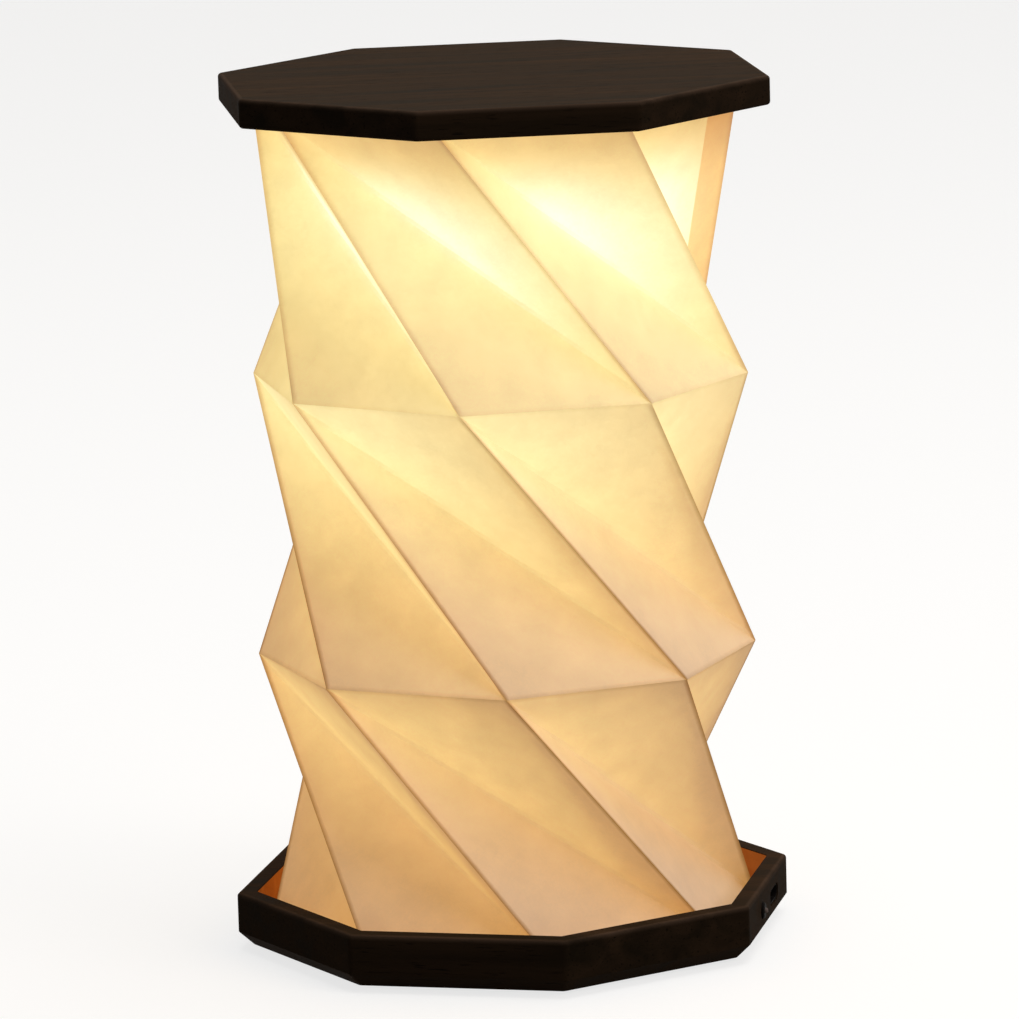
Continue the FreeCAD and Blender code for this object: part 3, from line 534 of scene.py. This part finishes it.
def other_walls():
    """The face that each of the rays spread over a spot's inner side comes to, or -1 for none."""
    ranks = np.arange(GATHER_RAYS)
    spread = np.sqrt((ranks + 0.5) / GATHER_RAYS)
    across = np.cross(inward, ASLANT)
    across /= np.linalg.norm(across, axis=1, keepdims=True)
    along = np.cross(inward, across)
    found = np.full((len(starts), GATHER_RAYS), -1)
    for spot, start in enumerate(starts.tolist()):
        angles = GOLDEN * (ranks + GATHER_RAYS * spot)
        rays = np.outer(spread * np.cos(angles), across[spot])
        rays += np.outer(spread * np.sin(angles), along[spot])
        rays += np.outer(np.sqrt(1 - spread**2), inward[spot])
        for rank, ray in enumerate(rays.tolist()):
            face = folds.ray_cast(start, ray)[2]
            if face is not None:
                found[spot, rank] = face
    return found


walls = other_walls()
passed_on = lamp
bounced = np.zeros(len(lamp))
for bounce in range(BOUNCES):
    on_faces = passed_on[spot_of_corner].reshape(-1, 3).mean(axis=1)
    passed_on = np.append(on_faces, 0)[walls].mean(axis=1)
    bounced += PAPER_RETURN**bounce * passed_on
print("light from other walls: middle", round(float(np.median(bounced)), 2))

# %% [markdown]
# The lights have their own tints. Light straight from the lamp is amber where it is weak and
# bleaches to warm white where it is strong. Light from the other walls is yellow, and a steady deep
# orange stands for what seeps through many layers. These last two fade towards the ridges, which
# stand furthest out. The lamp leans a little, so it is brighter on one side close by, and on the
# other side further down. The paper rounds over its creases, so a soft shade lies along the rings,
# and beside the ridges far below the lamp. Where it all adds up to a lot, the paper runs into white
# softly, as bright things do in a photograph.

# %% Keep the glow on the mesh
LAMP_TINT, LAMP_POWER = linear("ffab36"), 0.46
BLEACH_TINT, BLEACH_POWER = linear("ffffcd"), 0.14
WALL_TINT, WALL_POWER = linear("ffe583"), 0.81
SEEP_TINT, SEEP_POWER = linear("ffa156"), 0.87
RIDGE_FADE = 0.45
RING_SHADE, RING_WIDTH = 0.07, 0.1
TRAY_TINT = linear("e4f6f3")
RIDGE_SHADE, RIDGE_WIDTH = 0.25, 0.15
SIDE_FADE = 0.18
LEAN_TIER, LEAN_SPAN, LEAN_BACK = 2.42, 0.5, -0.5
DIM_SIDE = math.radians(12.6)

flat_map = read(skin.uv_layers["UVMap"].data, "uv", 2)
counted = flat_map.reshape(-1, 3, 2) * (SIDES, TIERS)
cells = np.clip(counted - np.floor(counted.mean(axis=1, keepdims=True)), 0, 1).reshape(-1, 2)
tiers_up = counted[:, :, 1].ravel()
from_valley = np.abs(cells.sum(axis=1) - 1)
from_ring = np.abs(tiers_up[:, None] - np.arange(1, TIERS)).min(axis=1)
ring_shade = RING_SHADE * np.exp(-((from_ring / RING_WIDTH) ** 2))
low_down = np.clip(1 - tiers_up, 0, 1)
ridge_shade = RIDGE_SHADE * np.exp(-(((1 - cells[:, 0]) / RIDGE_WIDTH) ** 2)) * low_down
corner_places = skin_points[skin_faces.ravel()]
sideways = (corner_places[:, 0] * math.cos(DIM_SIDE) + corner_places[:, 1] * math.sin(DIM_SIDE)) / RADIUS
straight = lamp[spot_of_corner]
indirect = np.outer(bounced[spot_of_corner], WALL_TINT) * WALL_POWER + np.array(SEEP_TINT) * SEEP_POWER
amount = np.outer(straight, LAMP_TINT) * LAMP_POWER
amount += np.outer(straight**2, BLEACH_TINT) * BLEACH_POWER
amount += indirect * (1 - RIDGE_FADE * from_valley)[:, None]
amount *= 1 - np.outer(low_down, 1 - np.array(TRAY_TINT))
lean = np.clip((LEAN_TIER - tiers_up) / LEAN_SPAN, LEAN_BACK, 1)
shares = (1 - SIDE_FADE * lean * sideways) * (1 - ring_shade - ridge_shade)
colours = 1 - np.exp(-amount * shares[:, None])
colours[:, 3] = 1
skin.color_attributes.new("glow", "FLOAT_COLOR", "CORNER").data.foreach_set("color", colours.ravel())
print("glow, on average:", np.round(colours.mean(axis=0)[:3], 2))

# %% [markdown]
# ## Lantern paper
# The sheet is spun-fibre paper, thin, matte and cloudy when light comes through it. The folding
# machine's wheel has pressed the ridges, and there the paper is denser and lets less light out,
# which draws soft brown lines. The same lines are also painted brown into the sheet's own colour,
# as painted shade along the creases. The rings are pressed less, and near the lamp the light floods
# both.
# The valleys have no lines. Along one ridge the sheet is glued to itself, and two layers look
# darker. The flat sheet's own map says where all this is. The fibres, some hundredths of a
# millimetre thick, are drawn coarser so that they show.

# %% Make the paper
RIDGE_SPACING = 37.0
RING_SPACING = 69.5
LINE_MM = 1.05
RIDGE_PRESS = 0.84
RING_PRESS = 0.28
FLOODED, FLOOD_SPAN = 0.16, (0.45, 0.8)
SEAM_SIDE = 7
SEAM_SHARE = 0.23
EDGE_MM = 3.0
CLOUD_MM = 7.0
FIBRE_MM = 0.9


def make_paper(tree, surface):
    flat = add(tree, SPLIT, [add(tree, "ShaderNodeUVMap", uv_map="UVMap")])
    sides = add(tree, MATH, [flat, SIDES], operation="MULTIPLY")
    tiers = add(tree, MATH, [flat.node.outputs[1], TIERS], operation="MULTIPLY")
    spot = add(tree, PLACE, out="Object")

    # Soft lines where the wheel has pressed
    rough_edge = add(tree, NOISE, {"Vector": spot, "Scale": per(EDGE_MM), "Detail": 2})
    ragged = add(tree, MATH, [rough_edge, 0.3, -0.15], operation="MULTIPLY_ADD")
    line = 0.0
    for count, spacing, press in ((sides, RIDGE_SPACING, RIDGE_PRESS), (tiers, RING_SPACING, RING_PRESS)):
        away = add(tree, MATH, [count, 0.5], operation="PINGPONG")
        away_mm = add(tree, MATH, [away, spacing, ragged], operation="MULTIPLY_ADD")
        crease = add(tree, RANGE, [away_mm, 0.1 * LINE_MM, LINE_MM, press, 0])
        line = add(tree, MATH, [crease, line], operation="MAXIMUM")
    height = add(tree, MATH, [tiers, 1 / TIERS], operation="MULTIPLY")
    flooded = add(tree, RANGE, [height, *FLOOD_SPAN, 1, FLOODED])
    line = add(tree, MATH, [line, flooded], operation="MULTIPLY")

    # Two layers of paper left of the glued ridge
    to_seam = add(tree, MATH, [SEAM_SIDE, sides], operation="SUBTRACT")
    after = add(tree, MATH, [to_seam, 0], operation="GREATER_THAN")
    before = add(tree, MATH, [to_seam, SEAM_SHARE], operation="LESS_THAN")
    seam = add(tree, MATH, [after, before], operation="MULTIPLY")

    # Clouds and fibres
    clouds = add(tree, NOISE, {"Vector": spot, "Scale": per(CLOUD_MM), "Detail": 3, "Roughness": 0.55})
    fibres = add(tree, NOISE, {"Vector": spot, "Scale": per(FIBRE_MM), "Detail": 3, "Distortion": 1.2})
    cloud_share = add(tree, RANGE, [clouds, *MOST, 0.94, 1.05])
    fibre_share = add(tree, RANGE, [fibres, *MOST, 0.95, 1.04])
    clear = add(tree, MATH, [cloud_share, fibre_share], operation="MULTIPLY")

    # The light that gets out
    glow = add(tree, "ShaderNodeVertexColor", layer_name="glow")
    cloudy = add(tree, VECTOR, {0: glow, "Scale": clear}, operation="SCALE")
    layered = add(tree, MIX, {0: seam, 6: linear("ffffff"), 7: linear("f0cfa4")}, **COLOURS)
    pressed = add(tree, MIX, {0: line, 6: linear("ffffff"), 7: linear("c3bdb2")}, **COLOURS)
    dimmed = add(tree, VECTOR, [layered, pressed], operation="MULTIPLY")
    out = add(tree, VECTOR, [cloudy, dimmed], operation="MULTIPLY")
    tree.links.new(out, surface["Emission Color"])
    surface["Emission Strength"].default_value = 1.0

    # The sheet itself
    plain = add(tree, MIX, {0: clouds, 6: linear("b6b0a8"), 7: linear("bfbab2")}, **COLOURS)
    # Painted shade: the pressed lines also darken the sheet's own colour to brown along ridges and rings
    creased_and_shaded = add(tree, MIX, {0: line, 6: plain, 7: linear("7c5d34")}, **COLOURS)
    dullness = add(tree, RANGE, [fibres, *MOST, 0.8, 0.92])
    dress(tree, surface, creased_and_shaded, dullness, fibres, 0.03 * MM, 0.5)


make_paper(paper_tree, paper)

# %% [markdown]
# The sheet has had no thickness so far. Solidify gives it one, inwards, so the creases stay where
# the rings are. The upper hem is clamped under the plate and goes with it, so it becomes a piece of
# its own. When the lamp is closed, the other folds lie on each other in the tray, below the strips
# that hold the hem.

# %% Split off the upper hem
upper_hem = bpy.data.objects.new("upper_hem", shade.data.copy())
show(upper_hem)


def in_upper_hem(face):
    return min(corner.co.z for corner in face.verts) > RING_HEIGHTS[-1] - WELD


for piece, is_hem in ((shade, False), (upper_hem, True)):
    bm = bmesh.new()
    bm.from_mesh(piece.data)
    others = [face for face in bm.faces if in_upper_hem(face) != is_hem]
    bmesh.ops.delete(bm, geom=others, context="FACES")
    bm.to_mesh(piece.data)
    bm.free()
    print(piece.name, len(piece.data.polygons), "faces")

# %% Give the sheet its thickness and its place
PAPER_THICKNESS = 0.3 * MM

for piece, body in ((shade, "base"), (upper_hem, "top")):
    wall = piece.modifiers.new("thickness", "SOLIDIFY")
    wall.thickness = PAPER_THICKNESS
    wall.offset = -1
    freeze(piece)
    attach(piece, body)
    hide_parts("paper_shade")
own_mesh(shade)

# %% [markdown]
# ## Plated metal
# Screws are zinc-plated steel, and the catch magnets are nickel-plated. Plating is a clear metal,
# tumbled smooth, with faint cloudy stains that change its colour and its gloss a little. One
# function makes both, from two tones and a dullness.

# %% Make the plated metals
STAIN_MM = 0.8


def plated_metal(name, dark, pale, dullness):
    material, tree, surface = new_material(name, {"Metallic": 1.0})
    spot = add(tree, PLACE, out="Object")
    stains = add(tree, NOISE, {"Vector": spot, "Scale": per(STAIN_MM), "Detail": 3})
    plating = add(tree, MIX, {0: stains, 6: linear(dark), 7: linear(pale)}, **COLOURS)
    gloss = add(tree, RANGE, [stains, *MOST, 0.75 * dullness, 1.25 * dullness])
    dress(tree, surface, plating, gloss)
    return material


zinc_plate = plated_metal("zinc_plated_steel", "a9abad", "cfd0d1", 0.34)
nickel_plate = plated_metal("nickel_plate", "b0aaa0", "d6d1c6", 0.2)
print("plated metals:", zinc_plate.name, nickel_plate.name)

# %% [markdown]
# ## Screws
# Forty-six small screws hold the works. They are the same screw, with a pan head and a cross
# recess, so one Geometry Nodes tree makes it and sets it on points. The CAD model says where each
# one is, which way it faces and how long it is. Each is turned by chance, from a fixed seed,
# because nobody lines up the recesses of screws that do not show.

# %% Build the screw tree
HEAD_SIDES = 24
SHANK_SIDES = 10
THREAD_PITCH = 0.4 * MM
CROWN_SHARE = 0.78
RECESS_SHARE = 0.62
RECESS_WIDTH = 0.36 * MM
RECESS_DEPTH = 0.45 * MM
ROOT_SHARE = 0.84
TURN_SEED = 7


def screw_tree(material):
    tree = bpy.data.node_groups.new("cross_screw", "GeometryNodeTree")
    tree.interface.new_socket("Points", in_out="INPUT", socket_type="NodeSocketGeometry")
    for name in ("Head radius", "Head height", "Shank radius", "Shank length"):
        tree.interface.new_socket(name, in_out="INPUT", socket_type="NodeSocketFloat")
    tree.interface.new_socket("Aim", in_out="INPUT", socket_type="NodeSocketVector")
    tree.interface.new_socket("Mesh", in_out="OUTPUT", socket_type="NodeSocketGeometry")
    given = tree.nodes.new("NodeGroupInput").outputs
    spot = add(tree, "GeometryNodeInputPosition")
    height = add(tree, SPLIT, [spot], out=2)

    # A drum whose upper ring is drawn in, with a cross cut into it
    head_size = {"Radius": given["Head radius"], "Depth": given["Head height"]}
    drum = add(tree, "GeometryNodeMeshCylinder", {"Vertices": HEAD_SIDES, "Side Segments": 2, **head_size})
    half_head = add(tree, MATH, [given["Head height"], 0.5], operation="MULTIPLY")
    quarter_head = add(tree, MATH, [half_head, 0.5], operation="MULTIPLY")
    upper = add(tree, MATH, [height, quarter_head], operation="GREATER_THAN")
    crown = add(tree, VECTOR, [spot, (CROWN_SHARE, CROWN_SHARE, 1)], operation="MULTIPLY")
    cut = add(tree, MOVE, {"Geometry": drum, "Selection": upper, "Position": crown})
    lift = add(tree, JOIN, [0, 0, half_head])
    span = add(tree, MATH, [given["Head radius"], 2 * RECESS_SHARE], operation="MULTIPLY")
    for bar_size in ([span, RECESS_WIDTH, 2 * RECESS_DEPTH], [RECESS_WIDTH, span, 2 * RECESS_DEPTH]):
        bar = add(tree, "GeometryNodeMeshCube", [add(tree, JOIN, bar_size)])
        raised = add(tree, "GeometryNodeTransform", {"Geometry": bar, "Translation": lift})
        cut = add(tree, "GeometryNodeMeshBoolean", [cut, raised], operation="DIFFERENCE", solver="EXACT")
    drop = add(tree, VECTOR, {0: lift, "Scale": -1}, operation="SCALE")
    head = add(tree, "GeometryNodeTransform", {"Geometry": cut, "Translation": drop})

    # A shank below it, whose rings are crests and roots by turns
    threads = add(tree, MATH, [given["Shank length"], 1 / THREAD_PITCH], operation="MULTIPLY")
    whole = add(tree, MATH, [threads], operation="FLOOR")
    rings = add(tree, MATH, [whole, 2], operation="MULTIPLY")
    shank_size = {"Radius": given["Shank radius"], "Depth": given["Shank length"]}
    steps = {"Vertices": SHANK_SIDES, "Side Segments": rings}
    shank = add(tree, "GeometryNodeMeshCylinder", {**steps, **shank_size})
    ring_gap = add(tree, MATH, [given["Shank length"], rings], operation="DIVIDE")
    half_shank = add(tree, MATH, [given["Shank length"], 0.5], operation="MULTIPLY")
    from_tip = add(tree, MATH, [height, half_shank], operation="ADD")
    wave = add(tree, MATH, [from_tip, ring_gap], operation="PINGPONG")
    share = add(tree, RANGE, [wave, 0, ring_gap, ROOT_SHARE, 1])
    narrowed = add(tree, JOIN, [share, share, 1])
    turned = add(tree, VECTOR, [spot, narrowed], operation="MULTIPLY")
    thread = add(tree, MOVE, {"Geometry": shank, "Position": turned})
    depth = add(tree, MATH, [half_shank, given["Head height"]], operation="ADD")
    below = add(tree, MATH, [depth, -1], operation="MULTIPLY")
    sink = add(tree, JOIN, [0, 0, below])
    sunk = add(tree, "GeometryNodeTransform", {"Geometry": thread, "Translation": sink})
    joined = tree.nodes.new("GeometryNodeJoinGeometry")
    for part in (head, sunk):
        tree.links.new(part, joined.inputs[0])

    # One screw on each point, turned by chance
    setting = {"Points": given["Points"], "Instance": joined.outputs[0], "Rotation": given["Aim"]}
    set_out = add(tree, "GeometryNodeInstanceOnPoints", setting)
    chance = add(tree, "FunctionNodeRandomValue", {3: math.tau, "Seed": TURN_SEED}, out=1, data_type="FLOAT")
    about = add(tree, JOIN, [0, 0, chance])
    loose = add(tree, "GeometryNodeRotateInstances", {"Instances": set_out, "Rotation": about})
    real = add(tree, "GeometryNodeRealizeInstances", [loose])
    finished = add(tree, "GeometryNodeSetMaterial", {"Geometry": real, "Material": material})
    tree.links.new(finished, tree.nodes.new("NodeGroupOutput").inputs[0])
    return tree


# %% Set the screws
def loose_bodies(node):
    """Corner points of each separate body of a CAD node, whose triangles are joined first."""
    bm = bmesh.new()
    bm.from_mesh(nodes[node].data)
    bmesh.ops.remove_doubles(bm, verts=bm.verts, dist=0.001 * MM)
    bodies = []
    for start in bm.verts:
        if not start.tag:
            start.tag = True
            reached = [start]
            for vertex in reached:
                for edge in vertex.link_edges:
                    other = edge.other_vert(vertex)
                    if not other.tag:
                        other.tag = True
                        reached.append(other)
            bodies.append(np.array([vertex.co for vertex in reached]))
    bm.free()
    return bodies


def set_screws(node, tree):
    """Replace the plain screws of a CAD node. A screw's head is its wider end."""
    bodies = loose_bodies(node)
    centres = [(body.min(axis=0) + body.max(axis=0)) / 2 for body in bodies]
    reach = np.hypot(*(bodies[0] - centres[0])[:, :2].T)
    head = bodies[0][reach > reach.max() - SKIN, 2]
    faces_up = head.mean() > centres[0][2]
    head_end = head.max() if faces_up else head.min()
    mesh = bpy.data.meshes.new(f"threaded_{node}")
    mesh.from_pydata([(centre[0], centre[1], head_end) for centre in centres], [], [])
    piece = bpy.data.objects.new(mesh.name, mesh)
    show(piece)
    setting = piece.modifiers.new("screws", "NODES")
    setting.node_group = tree
    sizes = {
        "Head radius": float(reach.max()),
        "Head height": float(np.ptp(head)),
        "Shank radius": float(reach.min()),
        "Shank length": float(np.ptp(bodies[0][:, 2]) - np.ptp(head)),
        "Aim": (0.0 if faces_up else math.pi, 0.0, 0.0),
    }
    set_inputs(setting, sizes)
    freeze(piece)
    piece.data.shade_smooth()
    piece.data.set_sharp_from_angle(angle=math.radians(30))
    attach(piece, body_of(nodes[node])[0])
    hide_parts(node)
    print(piece.name, len(bodies), "screws", "up" if faces_up else "down", len(piece.data.polygons), "faces")


cross_screw = screw_tree(zinc_plate)
for node in sorted(name for name in nodes if name.endswith("_screws")):
    set_screws(node, cross_screw)

# %% [markdown]
# ## Moulded plastics and rubber
# Cup, hatch cover, switch and chips are black ABS, the strips that clamp the paper are white ABS,
# the lead sockets are natural nylon and the feet are rubber. All are moulded. The mould's walls are
# eroded by sparks, which gives the plastic a fine even grain and takes its gloss, and the melt
# leaves broad, faint flow marks. The grain is some hundredths of a millimetre on the real ones, and
# is drawn coarser so that it shows.

# %% Make the moulded finishes
FLOW_MM = 6.0
GRAIN_MM = 0.25
MOULDED = {
    "black_plastic": ("moulded_black_abs", "131313", "1e1e1f", 0.46),
    "strip_plastic": ("moulded_white_abs", "d8d5cf", "e6e3de", 0.5),
    "socket_plastic": ("natural_nylon", "cdc6b6", "ddd7c9", 0.42),
    "rubber": ("moulded_rubber", "171717", "2b2a29", 0.85),
}


def moulded(name, dark, pale, dullness):
    material, tree, surface = new_material(name, {"IOR": 1.53})
    spot = add(tree, PLACE, out="Object")
    flow = add(tree, NOISE, {"Vector": spot, "Scale": per(FLOW_MM), "Detail": 2, "Distortion": 0.8})
    tone = add(tree, MIX, {0: flow, 6: linear(dark), 7: linear(pale)}, **COLOURS)
    grain = add(tree, NOISE, {"Vector": spot, "Scale": per(GRAIN_MM), "Detail": 2})
    gloss = add(tree, RANGE, [grain, *MOST, dullness - 0.08, dullness + 0.08])
    dress(tree, surface, tone, gloss, grain, 0.02 * MM, 0.5)
    return material


finishes = {"steel": zinc_plate, "nickel": nickel_plate}
for slot, (name, dark, pale, dullness) in MOULDED.items():
    finishes[slot] = moulded(name, dark, pale, dullness)
print("moulded:", ", ".join(MOULDED))

# %% [markdown]
# ## Circuit boards
# The two control boards are glass-fibre laminate under a dark green lacquer. Copper tracks show
# through it as paler, slightly raised lines, and tinned pads stand bare. Real tracks are drawn by a
# program, and only a hint of them is needed here. Voronoi cells measured square-wise have straight
# borders, which make good tracks, and their middles make the pads.

# %% Make the circuit board
TRACK_MM = 2.2
TRACK_SHARE = 0.13
PAD_SHARE = 0.15


def lacquered_laminate():
    material, tree, surface = new_material("lacquered_laminate", {"IOR": 1.55})
    spot = add(tree, PLACE, out="Object")
    cell = {"Vector": spot, "Scale": per(TRACK_MM), "Randomness": 0.8}
    nearest = add(tree, "ShaderNodeTexVoronoi", cell, distance="CHEBYCHEV", feature="F1")
    second = add(tree, "ShaderNodeTexVoronoi", cell, distance="CHEBYCHEV", feature="F2")
    between = add(tree, MATH, [second, nearest], operation="SUBTRACT")
    track = add(tree, MATH, [between, TRACK_SHARE], operation="LESS_THAN")
    pad = add(tree, MATH, [nearest, PAD_SHARE], operation="LESS_THAN")
    lacquer = add(tree, MIX, {0: track, 6: linear("0e2c1c"), 7: linear("1d4f33")}, **COLOURS)
    board = add(tree, MIX, {0: pad, 6: lacquer, 7: linear("cbc7be")}, **COLOURS)
    tree.links.new(pad, surface["Metallic"])
    gloss = add(tree, RANGE, [track, 0, 1, 0.32, 0.24])
    dress(tree, surface, board, gloss, track, 0.04 * MM, 0.7)
    return material


finishes["circuit_board"] = lacquered_laminate()
print("tracks about", TRACK_MM, "mm apart")

# %% [markdown]
# ## The cell
# A lithium-polymer cell is a soft pouch of aluminium foil between plastic films. It is a satin grey
# metal, and it crinkles where it was pressed round the winding. Two noises, a broad one for the
# dents and a fine one for the crinkles, bump it.

# %% Make the pouch foil
DENT_MM = 5.0
CRINKLE_MM = 1.2


def pouch_foil():
    material, tree, surface = new_material("laminated_foil", {"Metallic": 0.9})
    spot = add(tree, PLACE, out="Object")
    dents = add(tree, NOISE, {"Vector": spot, "Scale": per(DENT_MM), "Detail": 1})
    crinkles = add(tree, NOISE, {"Vector": spot, "Scale": per(CRINKLE_MM), "Detail": 3, "Distortion": 1.5})
    foil = add(tree, MIX, {0: crinkles, 6: linear("a4a6a8"), 7: linear("bfc1c2")}, **COLOURS)
    gloss = add(tree, RANGE, [dents, *MOST, 0.36, 0.5])
    uneven = add(tree, MATH, [dents, crinkles], operation="ADD")
    dress(tree, surface, foil, gloss, uneven, 0.12 * MM, 0.5)
    return material


finishes["cell_foil"] = pouch_foil()
print("crinkles about", CRINKLE_MM, "mm apart")

# %% [markdown]
# ## The light unit
# The diodes sit on an aluminium board under white lacquer, which throws their light down. Each has
# a drop of silicone with yellow phosphor grains on it. The opal cover in front is milky acrylic
# that spreads the light. What shines is given as emission, and the lacquer, the grains and the milk
# have faint clouds of their own.

# %% Make the light unit's finishes
LIT_CLOUD_MM = 1.5
LIT = {
    "aluminium_board": ("white_lacquered_aluminium", "dddcd8", "efeeea", 0.4, 0.0),
    "led_phosphor": ("silicone_phosphor", "dca832", "f0c860", 0.3, 2.0),
    "opal_plastic": ("opal_acrylic", "ece8df", "f6f3ec", 0.36, 1.0),
}


def lit_finish(name, dark, pale, dullness, strength):
    shine = {"Emission Color": linear("ffe0a6"), "Emission Strength": strength}
    material, tree, surface = new_material(name, {"IOR": 1.49, **shine})
    spot = add(tree, PLACE, out="Object")
    clouds = add(tree, NOISE, {"Vector": spot, "Scale": per(LIT_CLOUD_MM), "Detail": 3})
    tone = add(tree, MIX, {0: clouds, 6: linear(dark), 7: linear(pale)}, **COLOURS)
    gloss = add(tree, RANGE, [clouds, *MOST, dullness - 0.06, dullness + 0.06])
    dress(tree, surface, tone, gloss, clouds, 0.02 * MM, 0.4)
    return material


for slot, (name, dark, pale, dullness, strength) in LIT.items():
    finishes[slot] = lit_finish(name, dark, pale, dullness, strength)
print("lit:", ", ".join(LIT))

# %% [markdown]
# ## Handing out the finishes
# The record says which slot each CAD node takes its material from, so one loop finishes them all.
# Walnut, paper and screws have theirs already.

# %% Give every other node its finish
for subpart in frame["record"]["subparts"]:
    if subpart["material_slot"] in finishes:
        give_finish(subpart["node"], finishes[subpart["material_slot"]])
        print(subpart["node"], "is", finishes[subpart["material_slot"]].name)

# %% [markdown]
# ## The button and the socket
# The button's cap is turned brass under black nickel, a dull plating that is nearly black, and a
# domed, smoked light pipe stands out of its middle as a dim dot. The socket's shell gets the same
# nearly black finish as painted shade, so its mouth reads as a dark slot. The lathe leaves fine
# rings on the cap. They are a wave about its own axis, which runs along X, and the pipe is whatever
# lies close to that axis. The rings are drawn coarser than real ones so that they show.

# %% Make the black plating
PIPE_RADIUS = 0.62 * MM
TURNING_MM = 0.3


def black_nickel(name, node, pipe_radius):
    low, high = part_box(node)
    middle = (low + high) / 2
    material, tree, surface = new_material(name, {"Specular IOR Level": 0.012})
    spot = add(tree, PLACE, out="Object")
    centred = add(tree, VECTOR, [spot, (0, middle.y, middle.z)], operation="SUBTRACT")
    across = add(tree, VECTOR, [centred, (0, 1, 1)], operation="MULTIPLY")
    from_axis = add(tree, VECTOR, [across], out=1, operation="LENGTH")
    stains = add(tree, NOISE, {"Vector": spot, "Scale": per(STAIN_MM), "Detail": 3})
    black = add(tree, MIX, {0: stains, 6: linear("0d0b0a"), 7: linear("1c1917")}, **COLOURS)
    pipe = add(tree, MATH, [from_axis, pipe_radius], operation="LESS_THAN")
    colour = add(tree, MIX, {0: pipe, 6: black, 7: linear("6b5f5a")}, **COLOURS)
    half_turn = 0.5 * TURNING_MM * MM
    rings = add(tree, MATH, [from_axis, half_turn], operation="PINGPONG")
    gloss = add(tree, RANGE, [rings, 0, half_turn, 0.42, 0.58])
    dress(tree, surface, colour, gloss)
    return material


give_finish("button_cap", black_nickel("black_nickel_cap", "button_cap", PIPE_RADIUS))
# The shell's nearly black finish is painted shade, so the socket's mouth reads as a dark slot
give_finish("usb_shell", black_nickel("shaded_socket_shell", "usb_shell", 0.0))
print("light pipe", 2 * PIPE_RADIUS / MM, "mm across")

# %% [markdown]
# ## Floor, room and lights
# The lantern stands on a plain pale floor in a plain room. One wide lamp overhead and one at the
# side give soft light at a plain level, so that the lantern's own glow can be seen. Rays that come
# straight from the camera, or by way of metal or glass, see a brighter floor and room than the
# light does. So the background is nearly white and the lantern is not washed out.

# %% Make the floor
FLOOR_REACH = 4.0
FLOOR_LIFT = 0.75
ROOM_LIGHT = 0.14


def looking(tree):
    """One for rays from the camera, from metal or from glass, and zero for the others."""
    path = add(tree, "ShaderNodeLightPath").node.outputs
    direct = add(tree, MATH, [path["Is Camera Ray"], path["Is Glossy Ray"]], operation="MAXIMUM")
    return add(tree, MATH, [direct, path["Is Transmission Ray"]], operation="MAXIMUM")


floor_mesh = bpy.data.meshes.new("floor")
floor_corners = [(x * FLOOR_REACH, y * FLOOR_REACH, 0) for x, y in ((-1, -1), (1, -1), (1, 1), (-1, 1))]
floor_mesh.from_pydata(floor_corners, [], [(0, 1, 2, 3)])
floor = bpy.data.objects.new("floor", floor_mesh)
show(floor)
pale, pale_tree, pale_surface = new_material("pale_floor", {"Roughness": 0.9, "Base Color": linear("8f8d8a")})
pale_surface["Emission Color"].default_value = linear("ffffff")
lift = add(pale_tree, MATH, [looking(pale_tree), FLOOR_LIFT], operation="MULTIPLY")
pale_tree.links.new(lift, pale_surface["Emission Strength"])
floor_mesh.materials.append(pale)

# %% Light the room
LIGHTS = {
    "overhead": ((0.25, 0.1, 1.5), 1.2, 14.0, "ffffff"),
    "side": ((1.2, -0.5, 0.9), 0.8, 6.0, "fff4e8"),
}

world = bpy.data.worlds.new("room")
world.use_nodes = True
bpy.context.scene.world = world
room_tree = world.node_tree
room = room_tree.nodes["Background"].inputs
room["Color"].default_value = linear("f4f2ee")
level = add(room_tree, MATH, [looking(room_tree), 1 - ROOM_LIGHT, ROOM_LIGHT], operation="MULTIPLY_ADD")
room_tree.links.new(level, room["Strength"])
for name, (place, width, power, tint) in LIGHTS.items():
    light = bpy.data.objects.new(name, bpy.data.lights.new(name, "AREA"))
    show(light)
    light.data.size = width
    light.data.energy = power
    light.data.color = linear(tint)[:3]
    light.location = place
    light.rotation_mode = "QUATERNION"
    light.rotation_quaternion = (aim - light.location).to_track_quat("-Z", "Y")
bpy.context.scene.view_settings.view_transform = "Standard"
print("lights:", ", ".join(LIGHTS))
